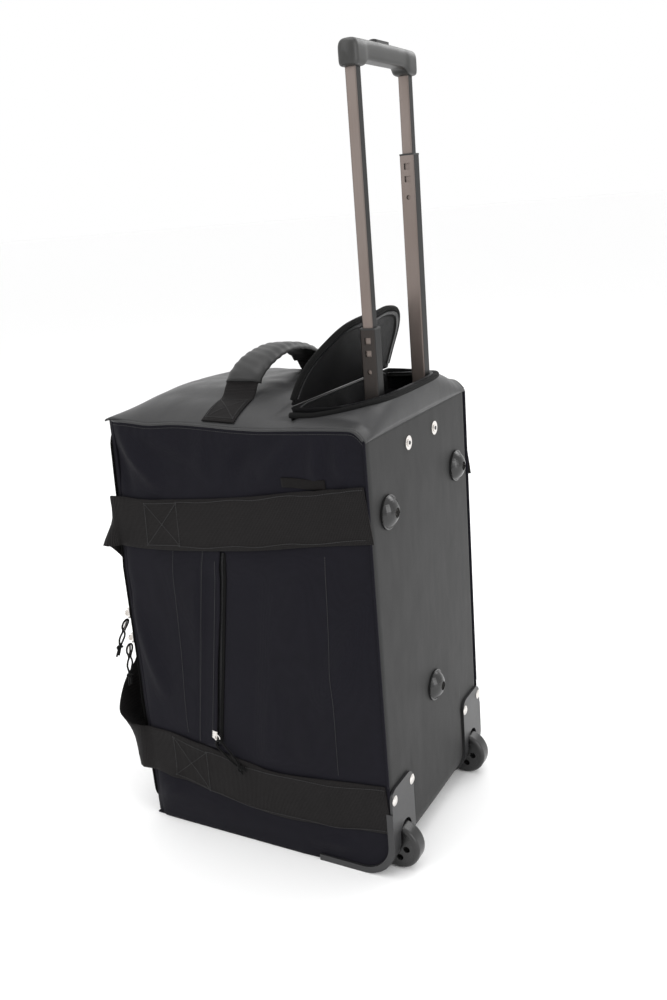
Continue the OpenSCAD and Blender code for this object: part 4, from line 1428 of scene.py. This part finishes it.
def grip_loft():
    sides, points = 40, []
    stations = steps(-0.0845, 0.0845, 120)
    for y in stations:
        half, low, high = grip_section(y)
        middle, tall = (low + high) / 2, (high - low) / 2
        for j in range(sides):
            q = math.tau * j / sides
            ca, sa = math.cos(q), math.sin(q)
            power = 0.62 if sa > 0 else 0.34
            points.append(Vector((TUBE_X + math.copysign(abs(ca) ** power, ca) * half, y,
                                  middle + math.copysign(abs(sa) ** power, sa) * tall)))
    grip = mesh_piece("grip_body", points, skin(len(stations), sides), "grip_plastic", "handle")
    tidy(grip, 0.00001)
    cut_boxes(grip, [((TUBE_X - 0.004, -0.0684, GRIP_Z + 0.0099),
                      (TUBE_X + 0.004, 0.0684, GRIP_Z + 0.023)),
                     ((TUBE_X - 0.006, -0.0164, GRIP_Z + 0.012),
                      (TUBE_X + 0.006, 0.0164, GRIP_Z + 0.040))]
              + [((TUBE_X - 0.007, s * TUBE_Y - 0.0065, GRIP_Z - 0.002),
                  (TUBE_X + 0.007, s * TUBE_Y + 0.0065, GRIP_Z + 0.0100)) for s in (-1, 1)])
    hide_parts("grip_front_half", "grip_rear_half")


def cut_boxes(obj, boxes):
    for low, high in boxes:
        bpy.ops.mesh.primitive_cube_add(size=1)
        cutter = bpy.context.object
        cutter.scale = [h - l for l, h in zip(low, high)]
        cutter.location = [(h + l) / 2 for l, h in zip(low, high)]
        bpy.context.view_layer.update()
        modify(obj, "BOOLEAN", operation="DIFFERENCE", object=cutter, solver="EXACT")
        apply_all(obj)
        bpy.data.objects.remove(cutter)
    for polygon in obj.data.polygons:
        polygon.use_smooth = True


grip_loft()


def return_springs():
    """Copy of the button's springs in nickel, carried with the handle."""
    node = frame["nodes"]["button_springs"]
    springs = bpy.data.objects.new("return_springs", node.data.copy())
    bpy.context.scene.collection.objects.link(springs)
    springs.matrix_world = node.matrix_world.copy()
    dress(springs, "nickel")
    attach(springs, "handle")
    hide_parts("button_springs")
    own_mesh(springs)


return_springs()


# ---------------- floor, light and world

def area_light(name, where, aim, size, watts):
    data = bpy.data.lights.new(name, "AREA")
    data.shape = "RECTANGLE"
    data.size, data.size_y = size
    data.energy = watts
    light = bpy.data.objects.new(name, data)
    bpy.context.scene.collection.objects.link(light)
    light.location = where
    light.rotation_euler = (Vector(aim) - Vector(where)).to_track_quat("-Z", "Y").to_euler()
    return light


def studio():
    bpy.ops.mesh.primitive_plane_add(size=300)
    floor = bpy.context.object
    floor.name = "floor"
    mat, _, bsdf = new_material("floor_white")
    bsdf.inputs["Base Color"].default_value = (0.99, 0.99, 0.99, 1)
    bsdf.inputs["Roughness"].default_value = 0.7
    floor.data.materials.append(mat)
    world = bpy.data.worlds.new("studio")
    world.use_nodes = True
    world.node_tree.nodes["Background"].inputs["Color"].default_value = (1, 1, 1, 1)
    world.node_tree.nodes["Background"].inputs["Strength"].default_value = 1.0
    bpy.context.scene.world = world
    bpy.context.scene.view_settings.view_transform = "Standard"
    centre = (0, 0, 0.4)
    lamps = [area_light("key", (-1.6, -2.6, 2.6), centre, (1.8, 1.8), 22),
             area_light("side", (2.8, -0.6, 1.4), centre, (1.4, 2.2), 30),
             area_light("back", (0.8, 2.6, 2.4), centre, (2.2, 1.4), 25),
             area_light("top", (0, 0, 3.2), centre, (2.0, 2.0), 25)]


studio()
